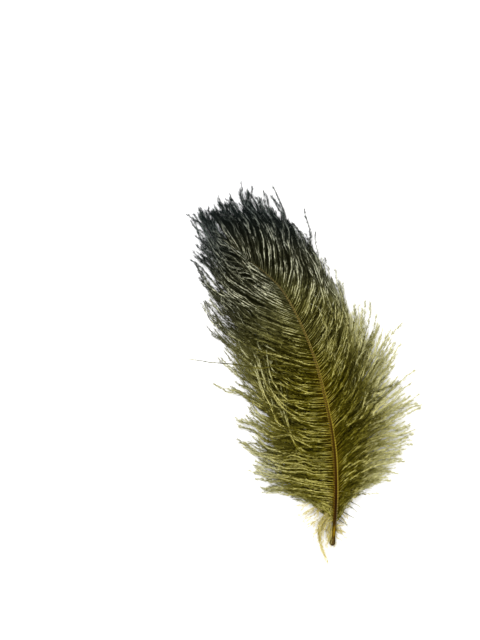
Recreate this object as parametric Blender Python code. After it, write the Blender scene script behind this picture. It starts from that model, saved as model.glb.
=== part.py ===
"""A dyed ostrich feather, modelled lying flat as it rests on a table.

The quill and the shaft are one tapering solid that bends to the left in plan and bows a
little in height. On each side of it a soft vane of free barbs is held as one closed solid
that reaches the tips of the barbs: flat where it rests, swollen beside the shaft and thin
at the tips. Units are metres, +Z is up and +Y runs from the quill towards the tip.
"""

import math

import bmesh
import bpy
from mathutils import Vector

# Driving dimensions of the shaft.
QUILL_HALF_WIDTH = 0.0018  # the rounded end of the quill
SHAFT_HALF_WIDTH = 0.0018  # the thickest stretch, where the first long barbs leave
SHAFT_FLATNESS = 0.85  # height over width of a section
GROOVE_DEPTH = 0.16  # of the half width, along the middle of the upper side
VANE_START = 0.075  # share of the shaft where the first barbs leave
REST_HEIGHT = 0.0001  # the lowest point of the quill over the table

# The middle of the shaft in plan, from the quill's end to the tip.
SHAFT_ROUTE = (
    (0.0009, -0.0009),
    (0.0021, 0.0090),
    (0.0027, 0.0202),
    (0.0030, 0.0338),
    (0.0028, 0.0450),
    (0.0020, 0.0586),
    (-0.0006, 0.0772),
    (-0.0062, 0.1020),
    (-0.0118, 0.1206),
    (-0.0198, 0.1398),
    (-0.0304, 0.1584),
    (-0.0428, 0.1708),
    (-0.0527, 0.1779),
    (-0.0620, 0.1872),
)

# Height of the middle of the shaft, at shares of its length.
SHAFT_HEIGHTS = (
    (0.00, 0.0016),
    (0.12, 0.0042),
    (0.35, 0.0060),
    (0.70, 0.0054),
    (1.00, 0.0034),
)

# Half width of the shaft as a share of SHAFT_HALF_WIDTH, past the rounded end of the quill.
SHAFT_TAPER = (
    (0.000, 1.02),
    (0.015, 0.99),
    (0.026, 0.83),
    (0.036, 0.71),
    (0.050, 0.72),
    (0.077, 0.79),
    (0.107, 0.90),
    (0.150, 1.00),
    (0.300, 0.88),
    (0.500, 0.61),
    (0.700, 0.40),
    (0.850, 0.26),
    (1.000, 0.17),
)

# The barbs of each vane, at shares of its length from the quill: how long they are, and the
# directions, in degrees from +X, in which they leave the shaft and in which their tips point.
LEFT_BARBS = (
    (0.00, 0.014, 214.0, 250.0),
    (0.03, 0.024, 200.0, 224.0),
    (0.08, 0.043, 184.0, 192.0),
    (0.15, 0.052, 180.0, 170.0),
    (0.22, 0.056, 182.0, 152.0),
    (0.30, 0.060, 182.0, 134.0),
    (0.42, 0.068, 178.0, 127.0),
    (0.55, 0.081, 171.0, 126.0),
    (0.70, 0.078, 161.0, 119.0),
    (0.85, 0.058, 152.0, 117.0),
    (1.00, 0.031, 147.0, 126.0),
)
RIGHT_BARBS = (
    (0.00, 0.009, 10.0, -15.0),
    (0.03, 0.020, 32.0, 0.0),
    (0.07, 0.039, 46.0, 2.0),
    (0.13, 0.054, 49.0, 12.0),
    (0.22, 0.063, 50.0, 34.0),
    (0.30, 0.068, 47.0, 58.0),
    (0.36, 0.069, 45.0, 78.0),
    (0.42, 0.068, 42.0, 94.0),
    (0.58, 0.067, 42.0, 111.0),
    (0.72, 0.064, 60.0, 117.0),
    (0.86, 0.054, 88.0, 122.0),
    (1.00, 0.031, 119.0, 125.0),
)
LEFT_TURN, RIGHT_TURN = 0.85, 1.9  # above 1, a barb turns most near the shaft
LOCKS = 11  # shallow locks along the edge of a vane
LOCK_DEPTH = 0.07  # share of a barb's length lost between two locks

# Section of a vane.
CLEARANCE = 0.0003  # from a vane to the shaft
EDGE_HEIGHT = 0.0016  # at the barbs' tips
SWELL = 0.0042  # how far the fluff stands over a straight slope from shaft to tips

# Mesh fineness.
END_RINGS = 4
SHAFT_RINGS = 72
RING_CLOSENESS = 1.4  # above 1, the rings stand closest at the quill
SHAFT_SIDES = 16
BARB_STATIONS = 56
BARB_STEPS = 6
ROUTE_STEPS = 240


def curve(start, end, leave, arrive, part):
    """The smooth value part of the way from start to end, given the slope at each."""
    squared, cubed = part**2, part**3
    return (
        start * (2 * cubed - 3 * squared + 1)
        + leave * (cubed - 2 * squared + part)
        + end * (3 * squared - 2 * cubed)
        + arrive * (cubed - squared)
    )


def slope_at(keys, index, column):
    """The slope of a column at one of its keys: flat at a peak or a dip, so nothing overshoots."""
    if index in (0, len(keys) - 1):
        return 0.0
    before, here, after = keys[index - 1 : index + 2]
    rising = (here[column] - before[column]) / (here[0] - before[0])
    leaving = (after[column] - here[column]) / (after[0] - here[0])
    return 2 * rising * leaving / (rising + leaving) if rising * leaving > 0 else 0.0


def along(keys, share, column=1):
    """Reads one column of a table of keys at a share, on a smooth curve through the keys."""
    for index, (low, high) in enumerate(zip(keys, keys[1:])):
        if share <= high[0]:
            width = high[0] - low[0]
            part = (share - low[0]) / width
            return curve(
                low[column],
                high[column],
                slope_at(keys, index, column) * width,
                slope_at(keys, index + 1, column) * width,
                part,
            )
    return keys[-1][column]


def smooth_route(points, steps):
    """Points at even distances along a smooth curve through the given points."""
    ends = [2 * points[0] - points[1], *points, 2 * points[-1] - points[-2]]
    fine = []
    for before, start, end, after in zip(ends, ends[1:], ends[2:], ends[3:]):
        leave, arrive = (end - before) / 2, (after - start) / 2
        fine += [curve(start, end, leave, arrive, step / steps) for step in range(steps)]
    fine.append(points[-1])
    lengths = [0.0]
    for start, end in zip(fine, fine[1:]):
        lengths.append(lengths[-1] + (end - start).length)
    even, segment = [], 0
    for step in range(steps + 1):
        wanted = lengths[-1] * step / steps
        while segment < len(fine) - 2 and lengths[segment + 1] < wanted:
            segment += 1
        part = (wanted - lengths[segment]) / (lengths[segment + 1] - lengths[segment])
        even.append(fine[segment].lerp(fine[segment + 1], min(part, 1.0)))
    return even


class Shaft:
    """The centre line and the sections of the quill and the shaft."""

    def __init__(self):
        self.route = smooth_route([Vector(point) for point in SHAFT_ROUTE], ROUTE_STEPS)
        self.length = ROUTE_STEPS * (self.route[1] - self.route[0]).length

    def plan(self, share):
        """The middle of the shaft in plan."""
        place = min(max(share, 0.0), 1.0) * ROUTE_STEPS
        first = min(int(place), ROUTE_STEPS - 1)
        return self.route[first].lerp(self.route[first + 1], place - first)

    def heading(self, share):
        """The direction of the shaft in plan, towards the tip."""
        reach = 1 / ROUTE_STEPS
        return (self.plan(share + reach) - self.plan(share - reach)).normalized()

    def half_width(self, share):
        """Half the width of the shaft, with both of its ends rounded off."""
        straight = SHAFT_HALF_WIDTH * along(SHAFT_TAPER, share)
        from_end = min(share * self.length / QUILL_HALF_WIDTH, 1.0)
        return straight * math.sqrt(max(1 - (1 - from_end) ** 2, 0.0))

    def height(self, share):
        """The height of the middle of the shaft."""
        return along(SHAFT_HEIGHTS, share)

    def section(self, share):
        """The points round one section, from the right-hand side over the top."""
        middle, ahead, half = self.plan(share), self.heading(share), self.half_width(share)
        right = Vector((ahead.y, -ahead.x))
        groove = GROOVE_DEPTH * min(max((share - VANE_START) / VANE_START, 0.0), 1.0)
        points = []
        for side in range(SHAFT_SIDES):
            turn = math.tau * side / SHAFT_SIDES
            rise = math.sin(turn) * SHAFT_FLATNESS
            if side == SHAFT_SIDES // 4:
                rise -= groove
            place = middle + right * (math.cos(turn) * half)
            points.append((place.x, place.y, self.height(share) + rise * half + REST_HEIGHT))
        return points

    def mesh(self):
        """One closed tube from the quill's end to the tip."""
        shape = bmesh.new()
        rounded = QUILL_HALF_WIDTH / self.length
        quarter = math.pi / 2 / END_RINGS
        shares = [rounded * (1 - math.cos(quarter * step)) for step in range(1, END_RINGS)]
        for step in range(SHAFT_RINGS + 1):
            shares.append(rounded + (1 - rounded) * (step / SHAFT_RINGS) ** RING_CLOSENESS)
        rings = [[shape.verts.new(point) for point in self.section(share)] for share in shares]
        for ring, after in zip(rings, rings[1:]):
            for side in range(SHAFT_SIDES):
                beside = (side + 1) % SHAFT_SIDES
                shape.faces.new((ring[side], after[side], after[beside], ring[beside]))
        shape.faces.new(rings[0])
        shape.faces.new(reversed(rings[-1]))
        return shape


def barb(shaft, keys, side, share):
    """The plan of one barb at a share of the vane, as points from the shaft to its tip.

    side is 1 for the right vane and -1 for the left.
    """
    along_shaft = VANE_START + (1 - VANE_START) * share
    ahead = shaft.heading(along_shaft)
    away = Vector((ahead.y, -ahead.x)) * side
    place = shaft.plan(along_shaft) + away * (shaft.half_width(along_shaft) + CLEARANCE)
    lock = math.sin(math.pi * LOCKS * share) ** 2 * math.sin(math.pi * share)
    length = along(keys, share, 1) * (1 - LOCK_DEPTH * lock)
    leave, tip = math.radians(along(keys, share, 2)), math.radians(along(keys, share, 3))
    power = RIGHT_TURN if side > 0 else LEFT_TURN
    points = [place]
    for step in range(BARB_STEPS):
        middle = (step + 0.5) / BARB_STEPS
        turn = tip + (leave - tip) * (1 - middle) ** power
        place = place + Vector((math.cos(turn), math.sin(turn))) * (length / BARB_STEPS)
        points.append(place)
    return points


def vane_mesh(shaft, keys, side):
    """The closed solid of one vane: a flat underside, and a swollen top that thins outwards."""
    shape = bmesh.new()
    top, bottom = [], []
    for station in range(BARB_STATIONS + 1):
        share = station / BARB_STATIONS
        height = shaft.height(VANE_START + (1 - VANE_START) * share)
        ends = math.sqrt(math.sin(math.pi * (0.06 + 0.88 * share)))
        upper, lower = [], []
        for step, point in enumerate(barb(shaft, keys, side, share)):
            out = step / BARB_STEPS
            slope = height + (EDGE_HEIGHT - height) * out
            rise = slope + SWELL * ends * math.sin(math.pi * out**0.7)
            upper.append(shape.verts.new((point.x, point.y, rise)))
            lower.append(shape.verts.new((point.x, point.y, 0.0)))
        top.append(upper)
        bottom.append(lower)
    for near, far, below, below_far in zip(top, top[1:], bottom, bottom[1:]):
        for step in range(BARB_STEPS):
            after = step + 1
            shape.faces.new((near[step], near[after], far[after], far[step]))
            shape.faces.new((below[step], below_far[step], below_far[after], below[after]))
        shape.faces.new((near[0], far[0], below_far[0], below[0]))
        shape.faces.new((near[-1], below[-1], below_far[-1], far[-1]))
    for step in range(BARB_STEPS):
        after = step + 1
        shape.faces.new((top[0][step], bottom[0][step], bottom[0][after], top[0][after]))
        shape.faces.new((top[-1][step], top[-1][after], bottom[-1][after], bottom[-1][step]))
    if side < 0:
        bmesh.ops.reverse_faces(shape, faces=shape.faces)
    return shape


def material(name, colour, roughness):
    """A plain Principled material."""
    made = bpy.data.materials.new(name)
    made.use_nodes = True
    shader = made.node_tree.nodes["Principled BSDF"]
    shader.inputs["Base Color"].default_value = (*colour, 1.0)
    shader.inputs["Roughness"].default_value = roughness
    shader.inputs["Metallic"].default_value = 0.0
    return made


def add_piece(name, shape, finish, parent):
    """Turns a bmesh into a named object that hangs from the parent."""
    bmesh.ops.triangulate(shape, faces=shape.faces)
    mesh = bpy.data.meshes.new(name)
    shape.to_mesh(mesh)
    shape.free()
    mesh.materials.append(finish)
    mesh.shade_smooth()
    piece = bpy.data.objects.new(name, mesh)
    bpy.context.scene.collection.objects.link(piece)
    piece.parent = parent
    return piece


def plan_middle(pieces):
    """The middle of the pieces' shared box, at the height of the table."""
    corners = [vertex.co for piece in pieces for vertex in piece.data.vertices]
    middle_x = (min(c.x for c in corners) + max(c.x for c in corners)) / 2
    middle_y = (min(c.y for c in corners) + max(c.y for c in corners)) / 2
    return Vector((middle_x, middle_y, 0.0))


def main():
    for old in list(bpy.data.objects):
        bpy.data.objects.remove(old)
    feather = bpy.data.objects.new("feather", None)
    bpy.context.scene.collection.objects.link(feather)
    shaft = Shaft()
    horn = material("horn_brown", (0.105, 0.052, 0.012), 0.35)
    olive_left = material("olive_barbs_left", (0.115, 0.105, 0.030), 0.80)
    olive_right = material("olive_barbs_right", (0.100, 0.095, 0.030), 0.80)
    pieces = [
        add_piece("shaft", shaft.mesh(), horn, feather),
        add_piece("left_vane", vane_mesh(shaft, LEFT_BARBS, -1), olive_left, feather),
        add_piece("right_vane", vane_mesh(shaft, RIGHT_BARBS, 1), olive_right, feather),
    ]
    feather.location = -plan_middle(pieces)


main()
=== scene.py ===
"""The looks of a dyed ostrich feather that lies flat on a pale table.

The shaft is one grooved horn tube. Every barb is a thin tube of its own that leaves the shaft
at its side, and every barb carries soft barbules, which are slender bent blades. A few barbs
twist into a strand, and strands gather in locks that wave together, as they do in a plume that
has been handled. Some long barbs cross the left vane, one stands out loose, and pale down and
stiff spikes grow at the foot. The dye turns from amber at the shaft to olive and khaki, and
through ash grey to blue-black where the tip was dipped a second time.

Lengths are metres, angles are degrees from +X as seen from above, and shares run from 0 to 1.
The look of a vertex is a pair: its place on the dye scale, and how far it is painted as lit.
"""

import logging
import math
from collections.abc import Sequence
from dataclasses import dataclass, field
from enum import Enum

import bpy
import numpy as np
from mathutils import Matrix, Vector

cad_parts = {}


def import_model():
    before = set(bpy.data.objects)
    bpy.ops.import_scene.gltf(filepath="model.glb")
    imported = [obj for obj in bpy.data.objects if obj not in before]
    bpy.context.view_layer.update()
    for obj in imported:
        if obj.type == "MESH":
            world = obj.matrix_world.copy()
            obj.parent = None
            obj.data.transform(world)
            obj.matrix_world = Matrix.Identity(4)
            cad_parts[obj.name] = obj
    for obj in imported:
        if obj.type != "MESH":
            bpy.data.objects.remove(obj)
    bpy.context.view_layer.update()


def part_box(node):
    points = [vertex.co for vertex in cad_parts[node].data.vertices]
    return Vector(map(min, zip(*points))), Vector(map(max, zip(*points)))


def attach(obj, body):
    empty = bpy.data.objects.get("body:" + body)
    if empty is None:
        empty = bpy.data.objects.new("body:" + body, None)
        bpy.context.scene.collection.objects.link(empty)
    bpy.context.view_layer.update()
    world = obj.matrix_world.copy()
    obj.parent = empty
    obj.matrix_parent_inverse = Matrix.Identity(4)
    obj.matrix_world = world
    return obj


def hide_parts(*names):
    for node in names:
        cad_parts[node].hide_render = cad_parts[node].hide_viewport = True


LOG = logging.getLogger("ostrich_feather")
LOOK_MAP = "OFBake"
BODY = "root"

# The photograph's frame, and where the end of the quill lies in it.
PHOTO_WIDTH, PHOTO_HEIGHT = 480, 640
QUILL_END_PIXEL = (332.5, 547.1)
METRES_PER_PIXEL = 0.00062

# The middle of the shaft in plan from the quill's end to the tip, as the solid shaft has it.
SHAFT_ROUTE = (
    (0.0009, -0.0009),
    (0.0021, 0.0090),
    (0.0027, 0.0202),
    (0.0030, 0.0338),
    (0.0028, 0.0450),
    (0.0020, 0.0586),
    (-0.0006, 0.0772),
    (-0.0062, 0.1020),
    (-0.0118, 0.1206),
    (-0.0198, 0.1398),
    (-0.0304, 0.1584),
    (-0.0428, 0.1708),
    (-0.0527, 0.1779),
    (-0.0620, 0.1872),
)

# Height of the middle of the shaft, at shares of its length.
SHAFT_HEIGHTS = ((0.00, 0.0017), (0.12, 0.0043), (0.35, 0.0061), (0.70, 0.0055), (1.00, 0.0035))

# Half width of the shaft in millimetres, at shares of its length.
SHAFT_TAPER = (
    (0.000, 1.84),
    (0.015, 1.78),
    (0.026, 1.49),
    (0.036, 1.28),
    (0.050, 1.30),
    (0.077, 1.42),
    (0.107, 1.62),
    (0.150, 1.80),
    (0.300, 1.58),
    (0.500, 1.10),
    (0.700, 0.72),
    (0.850, 0.47),
    (1.000, 0.31),
)

# Barbs at shares of a vane: length, and the directions in which they leave and end.
LEFT_BARBS = (
    (0.00, 0.018, 138.0, 152.0),
    (0.04, 0.030, 152.0, 170.0),
    (0.08, 0.042, 168.0, 180.0),
    (0.15, 0.051, 178.0, 166.0),
    (0.22, 0.057, 184.0, 150.0),
    (0.30, 0.062, 188.0, 128.0),
    (0.36, 0.065, 187.0, 120.0),
    (0.42, 0.068, 184.0, 122.0),
    (0.50, 0.077, 178.0, 128.0),
    (0.58, 0.085, 171.0, 124.0),
    (0.70, 0.079, 161.0, 118.0),
    (0.85, 0.057, 152.0, 117.0),
    (1.00, 0.029, 142.0, 128.0),
)
RIGHT_BARBS = (
    (0.00, 0.012, 66.0, 52.0),
    (0.03, 0.020, 61.0, 34.0),
    (0.07, 0.041, 54.0, 2.0),
    (0.13, 0.048, 50.0, 6.0),
    (0.22, 0.061, 49.0, 27.0),
    (0.30, 0.068, 47.0, 54.0),
    (0.36, 0.070, 44.0, 78.0),
    (0.42, 0.069, 41.0, 96.0),
    (0.50, 0.067, 38.0, 109.0),
    (0.58, 0.067, 42.0, 113.0),
    (0.72, 0.064, 60.0, 118.0),
    (0.86, 0.055, 88.0, 122.0),
    (1.00, 0.029, 118.0, 124.0),
)
DOWN_BARBS = (
    (0.00, 0.012, 250.0, 282.0),
    (0.35, 0.019, 232.0, 270.0),
    (0.70, 0.022, 200.0, 240.0),
    (1.00, 0.024, 176.0, 204.0),
)
FOOT_BARBS = (
    (0.00, 0.006, -30.0, -70.0),
    (0.50, 0.009, 0.0, -40.0),
    (1.00, 0.014, 10.0, -20.0),
)
LONG_DOWN_BARBS = (
    (0.00, 0.033, 192.0, 294.0),
    (1.00, 0.037, 186.0, 292.0),
)
CROSSING_BARBS = (
    (0.00, 0.068, 182.0, 104.0),
    (0.50, 0.072, 188.0, 98.0),
    (1.00, 0.070, 190.0, 100.0),
)
LOOSE_BARBS = (
    (0.00, 0.096, 178.0, 174.0),
    (1.00, 0.096, 178.0, 174.0),
)
SPIKE_BARBS = (
    (0.00, 0.009, -16.0, -36.0),
    (0.50, 0.014, -20.0, -36.0),
    (1.00, 0.020, -18.0, -32.0),
)

# Linear colours along the horn, at shares of the shaft: its groove and its two walls.
GROOVE_COLOURS = (
    (0.000, (0.060, 0.040, 0.012)),
    (0.022, (0.080, 0.052, 0.012)),
    (0.027, (0.040, 0.020, 0.002)),
    (0.032, (0.150, 0.090, 0.002)),
    (0.044, (0.210, 0.135, 0.003)),
    (0.056, (0.140, 0.085, 0.003)),
    (0.068, (0.034, 0.015, 0.0010)),
    (0.120, (0.014, 0.0045, 0.0003)),
    (0.220, (0.027, 0.012, 0.0006)),
    (0.350, (0.036, 0.020, 0.0012)),
    (0.480, (0.095, 0.068, 0.010)),
    (0.620, (0.096, 0.076, 0.020)),
    (0.800, (0.088, 0.074, 0.030)),
    (1.000, (0.035, 0.032, 0.018)),
)
RIGHT_WALL_COLOURS_AND_HIGHLIGHT = (
    (0.000, (0.040, 0.022, 0.005)),
    (0.030, (0.046, 0.028, 0.004)),
    (0.044, (0.064, 0.038, 0.004)),
    (0.054, (0.060, 0.038, 0.006)),
    # Painted highlight: a grey-white line along the right wall near the quill.
    (0.066, (0.160, 0.140, 0.086)),
    (0.100, (0.190, 0.165, 0.075)),
    (0.150, (0.290, 0.225, 0.035)),
    (0.300, (0.310, 0.250, 0.030)),
    (0.550, (0.190, 0.160, 0.030)),
    (0.750, (0.140, 0.115, 0.036)),
    (1.000, (0.060, 0.055, 0.032)),
)
LEFT_WALL_COLOURS = (
    (0.000, (0.040, 0.022, 0.005)),
    (0.030, (0.050, 0.030, 0.003)),
    (0.044, (0.120, 0.076, 0.004)),
    (0.060, (0.036, 0.020, 0.002)),
    (0.120, (0.090, 0.056, 0.004)),
    (0.250, (0.092, 0.062, 0.005)),
    (0.400, (0.125, 0.092, 0.012)),
    (0.700, (0.120, 0.096, 0.026)),
    (1.000, (0.060, 0.055, 0.032)),
)

# Multiples of these, less their whole parts, fill a box evenly.
EVEN_STEPS = (0.8191725134, 0.6710436067, 0.5497004779)

Array = np.ndarray
Keys = Sequence[tuple[float, ...]]
Span = tuple[float, float]
Colour = tuple[float, float, float]
UP = np.array([0.0, 0.0, 1.0])
TINY = 1e-12
QUARTER_TURN = 0.25
MILLIMETRES_PER_METRE = 1000
# Where in its own step each of many evenly spread places may lie.
NEARLY_EVEN = (0.15, 0.85)


class Side(Enum):
    """Which side of the shaft a vane grows on, as the sign of its way across the shaft."""

    LEFT = -1
    RIGHT = 1


class Dye(Enum):
    """Places on the dye scale, from undyed down to the twice-dipped tip."""

    STRAW = 0.00
    AMBER = 0.15
    OLIVE = 0.30
    KHAKI = 0.50
    ASH = 0.70
    CHARCOAL = 0.85
    BLUE_BLACK = 1.00


# Linear barb colours on the dye scale: painted shade deep in the fluff, half lit, painted highlight
# on top.
BARB_PAINTED_LIGHT_COLOURS = (
    (Dye.STRAW, (0.180, 0.140, 0.045), (0.430, 0.360, 0.110), (0.720, 0.640, 0.250)),
    (Dye.AMBER, (0.020, 0.010, 0.0002), (0.165, 0.128, 0.006), (0.430, 0.355, 0.045)),
    (Dye.OLIVE, (0.015, 0.012, 0.0002), (0.165, 0.144, 0.012), (0.600, 0.550, 0.165)),
    (Dye.KHAKI, (0.014, 0.013, 0.0012), (0.178, 0.170, 0.052), (0.620, 0.600, 0.320)),
    (Dye.ASH, (0.006, 0.006, 0.0018), (0.088, 0.090, 0.050), (0.660, 0.665, 0.490)),
    (Dye.CHARCOAL, (0.004, 0.005, 0.0030), (0.036, 0.041, 0.031), (0.300, 0.315, 0.255)),
    (Dye.BLUE_BLACK, (0.002, 0.0035, 0.0035), (0.022, 0.029, 0.028), (0.130, 0.152, 0.142)),
)


def along(keys: Keys, share: Array, column: int = 1) -> Array:
    """Reads one column of a table of keys on a smooth curve that never overshoots a key.

    Args:
        keys: Rows that start with a share, in rising order.
        share: Where to read.
        column: Which number of a row to read.

    Returns:
        One value for each share.
    """
    table = np.array(keys, float)
    x, y = table[:, 0], table[:, column]
    widths = np.diff(x)
    rises = np.diff(y) / widths
    slopes = np.zeros(len(x))
    before, after = rises[:-1], rises[1:]
    turning = before * after <= 0
    total = np.where(turning, 1.0, before + after)
    slopes[1:-1] = np.where(turning, 0.0, 2 * before * after / total)
    row = np.clip(np.searchsorted(x, share) - 1, 0, len(widths) - 1)
    part = np.clip((share - x[row]) / widths[row], 0, 1)
    squared, cubed = part**2, part**3
    return (
        y[row] * (2 * cubed - 3 * squared + 1)
        + slopes[row] * widths[row] * (cubed - 2 * squared + part)
        + y[row + 1] * (3 * squared - 2 * cubed)
        + slopes[row + 1] * widths[row] * (cubed - squared)
    )


def ease(ends: Span, value: Array) -> Array:
    """Rises smoothly from 0 at the first end to 1 at the second."""
    low, high = ends
    part = np.clip((value - low) / (high - low), 0, 1)
    return part * part * (3 - 2 * part)


def mix(start: Array, end: Array, part: Array) -> Array:
    """The value part of the way from start to end."""
    return start + (end - start) * part


def unit(vectors: Array) -> Array:
    """The vectors at length one."""
    return vectors / np.maximum(np.linalg.norm(vectors, axis=-1, keepdims=True), TINY)


def ways(degrees: Array) -> Array:
    """Unit vectors in plan for angles in degrees from +X."""
    turn = np.radians(degrees)
    return np.stack([np.cos(turn), np.sin(turn)], axis=-1)


def towards(ahead: Array, aside: Array, angle: Array) -> Array:
    """Vectors turned by angles in radians from ahead to aside, one for each row."""
    return ahead * np.cos(angle)[:, None] + aside * np.sin(angle)[:, None]


def pointed(amount: float, off_middle: Array) -> Array:
    """How long the members of a lock are, which are shorter away from its middle."""
    return 1 - amount * np.clip(off_middle, 0, 1) ** 2


def spread(count: int, dice: np.random.Generator) -> Array:
    """Shares from 0 to 1 at nearly even distances, in rising order."""
    return (np.arange(count) + dice.uniform(*NEARLY_EVEN, count)) / count


def nearest(share: Array, centres: Array) -> Array:
    """The number of the centre that each share lies nearest to."""
    return np.abs(share[:, None] - centres[None, :]).argmin(1)


def apart(share: Array, centres: Array, own: Array) -> Array:
    """How far shares lie from their own centres, where 1 is half the centres' mean distance."""
    return np.abs(share - centres[own]) * len(centres) * 2


def wander(knots: Array, owner: Array, part: Array) -> Array:
    """Reads rows of random knots at a part of their length, eased from knot to knot.

    Args:
        knots: One row of knots for each owner.
        owner: Which row to read.
        part: Where along the row to read.

    Returns:
        One value for each place.
    """
    place = np.clip(part, 0, 1) * (knots.shape[1] - 1)
    low = np.minimum(place.astype(int), knots.shape[1] - 2)
    between = ease((0, 1), place - low)
    return mix(knots[owner, low], knots[owner, low + 1], between)


@dataclass(frozen=True)
class ShaftLine:
    """Where the middle line of the shaft runs in the row's frame."""

    steps: int = 600
    flatness: float = 0.85

    def route(self) -> Array:
        """Points at even distances along the smooth middle line, before it is moved in place.

        Returns:
            An array of steps + 1 points in plan.
        """
        points = np.array(SHAFT_ROUTE)
        ends = np.vstack([2 * points[0] - points[1], points, 2 * points[-1] - points[-2]])
        part = np.linspace(0, 1, self.steps, endpoint=False)[:, None]
        squared, cubed = part**2, part**3
        fine = []
        for before, start, end, after in zip(ends, ends[1:], ends[2:], ends[3:]):
            leave, arrive = (end - before) / 2, (after - start) / 2
            fine.append(
                start * (2 * cubed - 3 * squared + 1)
                + leave * (cubed - 2 * squared + part)
                + end * (3 * squared - 2 * cubed)
                + arrive * (cubed - squared)
            )
        line = np.vstack([*fine, points[-1:]])
        reach = np.concatenate([[0], np.cumsum(np.linalg.norm(np.diff(line, axis=0), axis=1))])
        even = np.linspace(0, reach[-1], self.steps + 1)
        return np.stack([np.interp(even, reach, line[:, axis]) for axis in (0, 1)], axis=1)

    def length(self) -> float:
        """The length of the shaft in plan."""
        return float(np.linalg.norm(np.diff(self.route(), axis=0), axis=1).sum())

    def offset(self) -> Array:
        """How far the route is moved so that its box is the solid shaft's box."""
        share = np.linspace(0, 1, self.steps + 1)
        route, half = self.route(), self.half_width(share)[:, None]
        ahead = unit(np.gradient(route, axis=0))
        across = np.stack([ahead[:, 1], -ahead[:, 0]], axis=1)
        edges = np.vstack([route + across * half, route - across * half])
        low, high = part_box("shaft")
        middle = (np.array(low[:2]) + np.array(high[:2])) / 2
        return middle - (edges.min(0) + edges.max(0)) / 2

    def half_width(self, share: Array) -> Array:
        """Half the width of the shaft."""
        return along(SHAFT_TAPER, share) / MILLIMETRES_PER_METRE

    def height(self, share: Array) -> Array:
        """The height of the middle of the shaft."""
        return along(SHAFT_HEIGHTS, share)

    def middle(self, share: Array) -> Array:
        """The middle of the shaft in plan, in the row's frame."""
        route = self.route() + self.offset()
        fine = np.linspace(0, 1, self.steps + 1)
        return np.stack([np.interp(share, fine, route[:, axis]) for axis in (0, 1)], axis=-1)

    def ahead(self, share: Array) -> Array:
        """Unit vectors along the shaft in plan, towards the tip."""
        reach = 2 / self.steps
        low, high = np.clip(share - reach, 0, 1), np.clip(share + reach, 0, 1)
        return unit(self.middle(high) - self.middle(low))

    def right(self, share: Array) -> Array:
        """Unit vectors to the right of the shaft in plan."""
        ahead = self.ahead(share)
        return np.stack([ahead[..., 1], -ahead[..., 0]], axis=-1)


@dataclass
class Weave:
    """Vertices, looks and faces of one piece as they are gathered."""

    points: list[Array] = field(default_factory=list)
    looks: list[Array] = field(default_factory=list)
    faces: dict[int, list[Array]] = field(default_factory=dict)
    held: int = 0

    def add(self, points: Array, looks: Array, *faces: Array) -> None:
        """Adds vertices with their looks, and faces that count from the first of them.

        Args:
            points: Places, one row each.
            looks: Place on the dye scale and painted light, one row each.
            faces: Arrays of faces, each with one row of vertex numbers for each face.
        """
        for block in faces:
            self.faces.setdefault(block.shape[1], []).append(block + self.held)
        self.points.append(points)
        self.looks.append(looks)
        self.held += len(points)

    def make(self, name: str, finish: bpy.types.Material) -> bpy.types.Object:
        """Makes the object.

        Args:
            name: The piece's name.
            finish: Its material.

        Returns:
            The object, linked to the scene.
        """
        points, looks = np.vstack(self.points), np.vstack(self.looks)
        blocks = [np.vstack(self.faces[sides]) for sides in sorted(self.faces)]
        corners = np.concatenate([block.ravel() for block in blocks])
        counts = np.concatenate([np.full(len(b), b.shape[1]) for b in blocks])
        starts = np.concatenate([[0], np.cumsum(counts)[:-1]])
        mesh = bpy.data.meshes.new(name)
        mesh.vertices.add(len(points))
        mesh.vertices.foreach_set("co", points.astype(np.float32).ravel())
        mesh.loops.add(len(corners))
        mesh.loops.foreach_set("vertex_index", corners.astype(np.int32))
        mesh.polygons.add(len(counts))
        mesh.polygons.foreach_set("loop_start", starts.astype(np.int32))
        layer = mesh.uv_layers.new(name=LOOK_MAP)
        layer.uv.foreach_set("vector", looks[corners].astype(np.float32).ravel())
        mesh.update(calc_edges=True)
        mesh.validate()
        mesh.polygons.foreach_set("use_smooth", np.ones(len(mesh.polygons), dtype=bool))
        mesh.materials.append(finish)
        piece = bpy.data.objects.new(name, mesh)
        bpy.context.scene.collection.objects.link(piece)
        return piece


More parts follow.
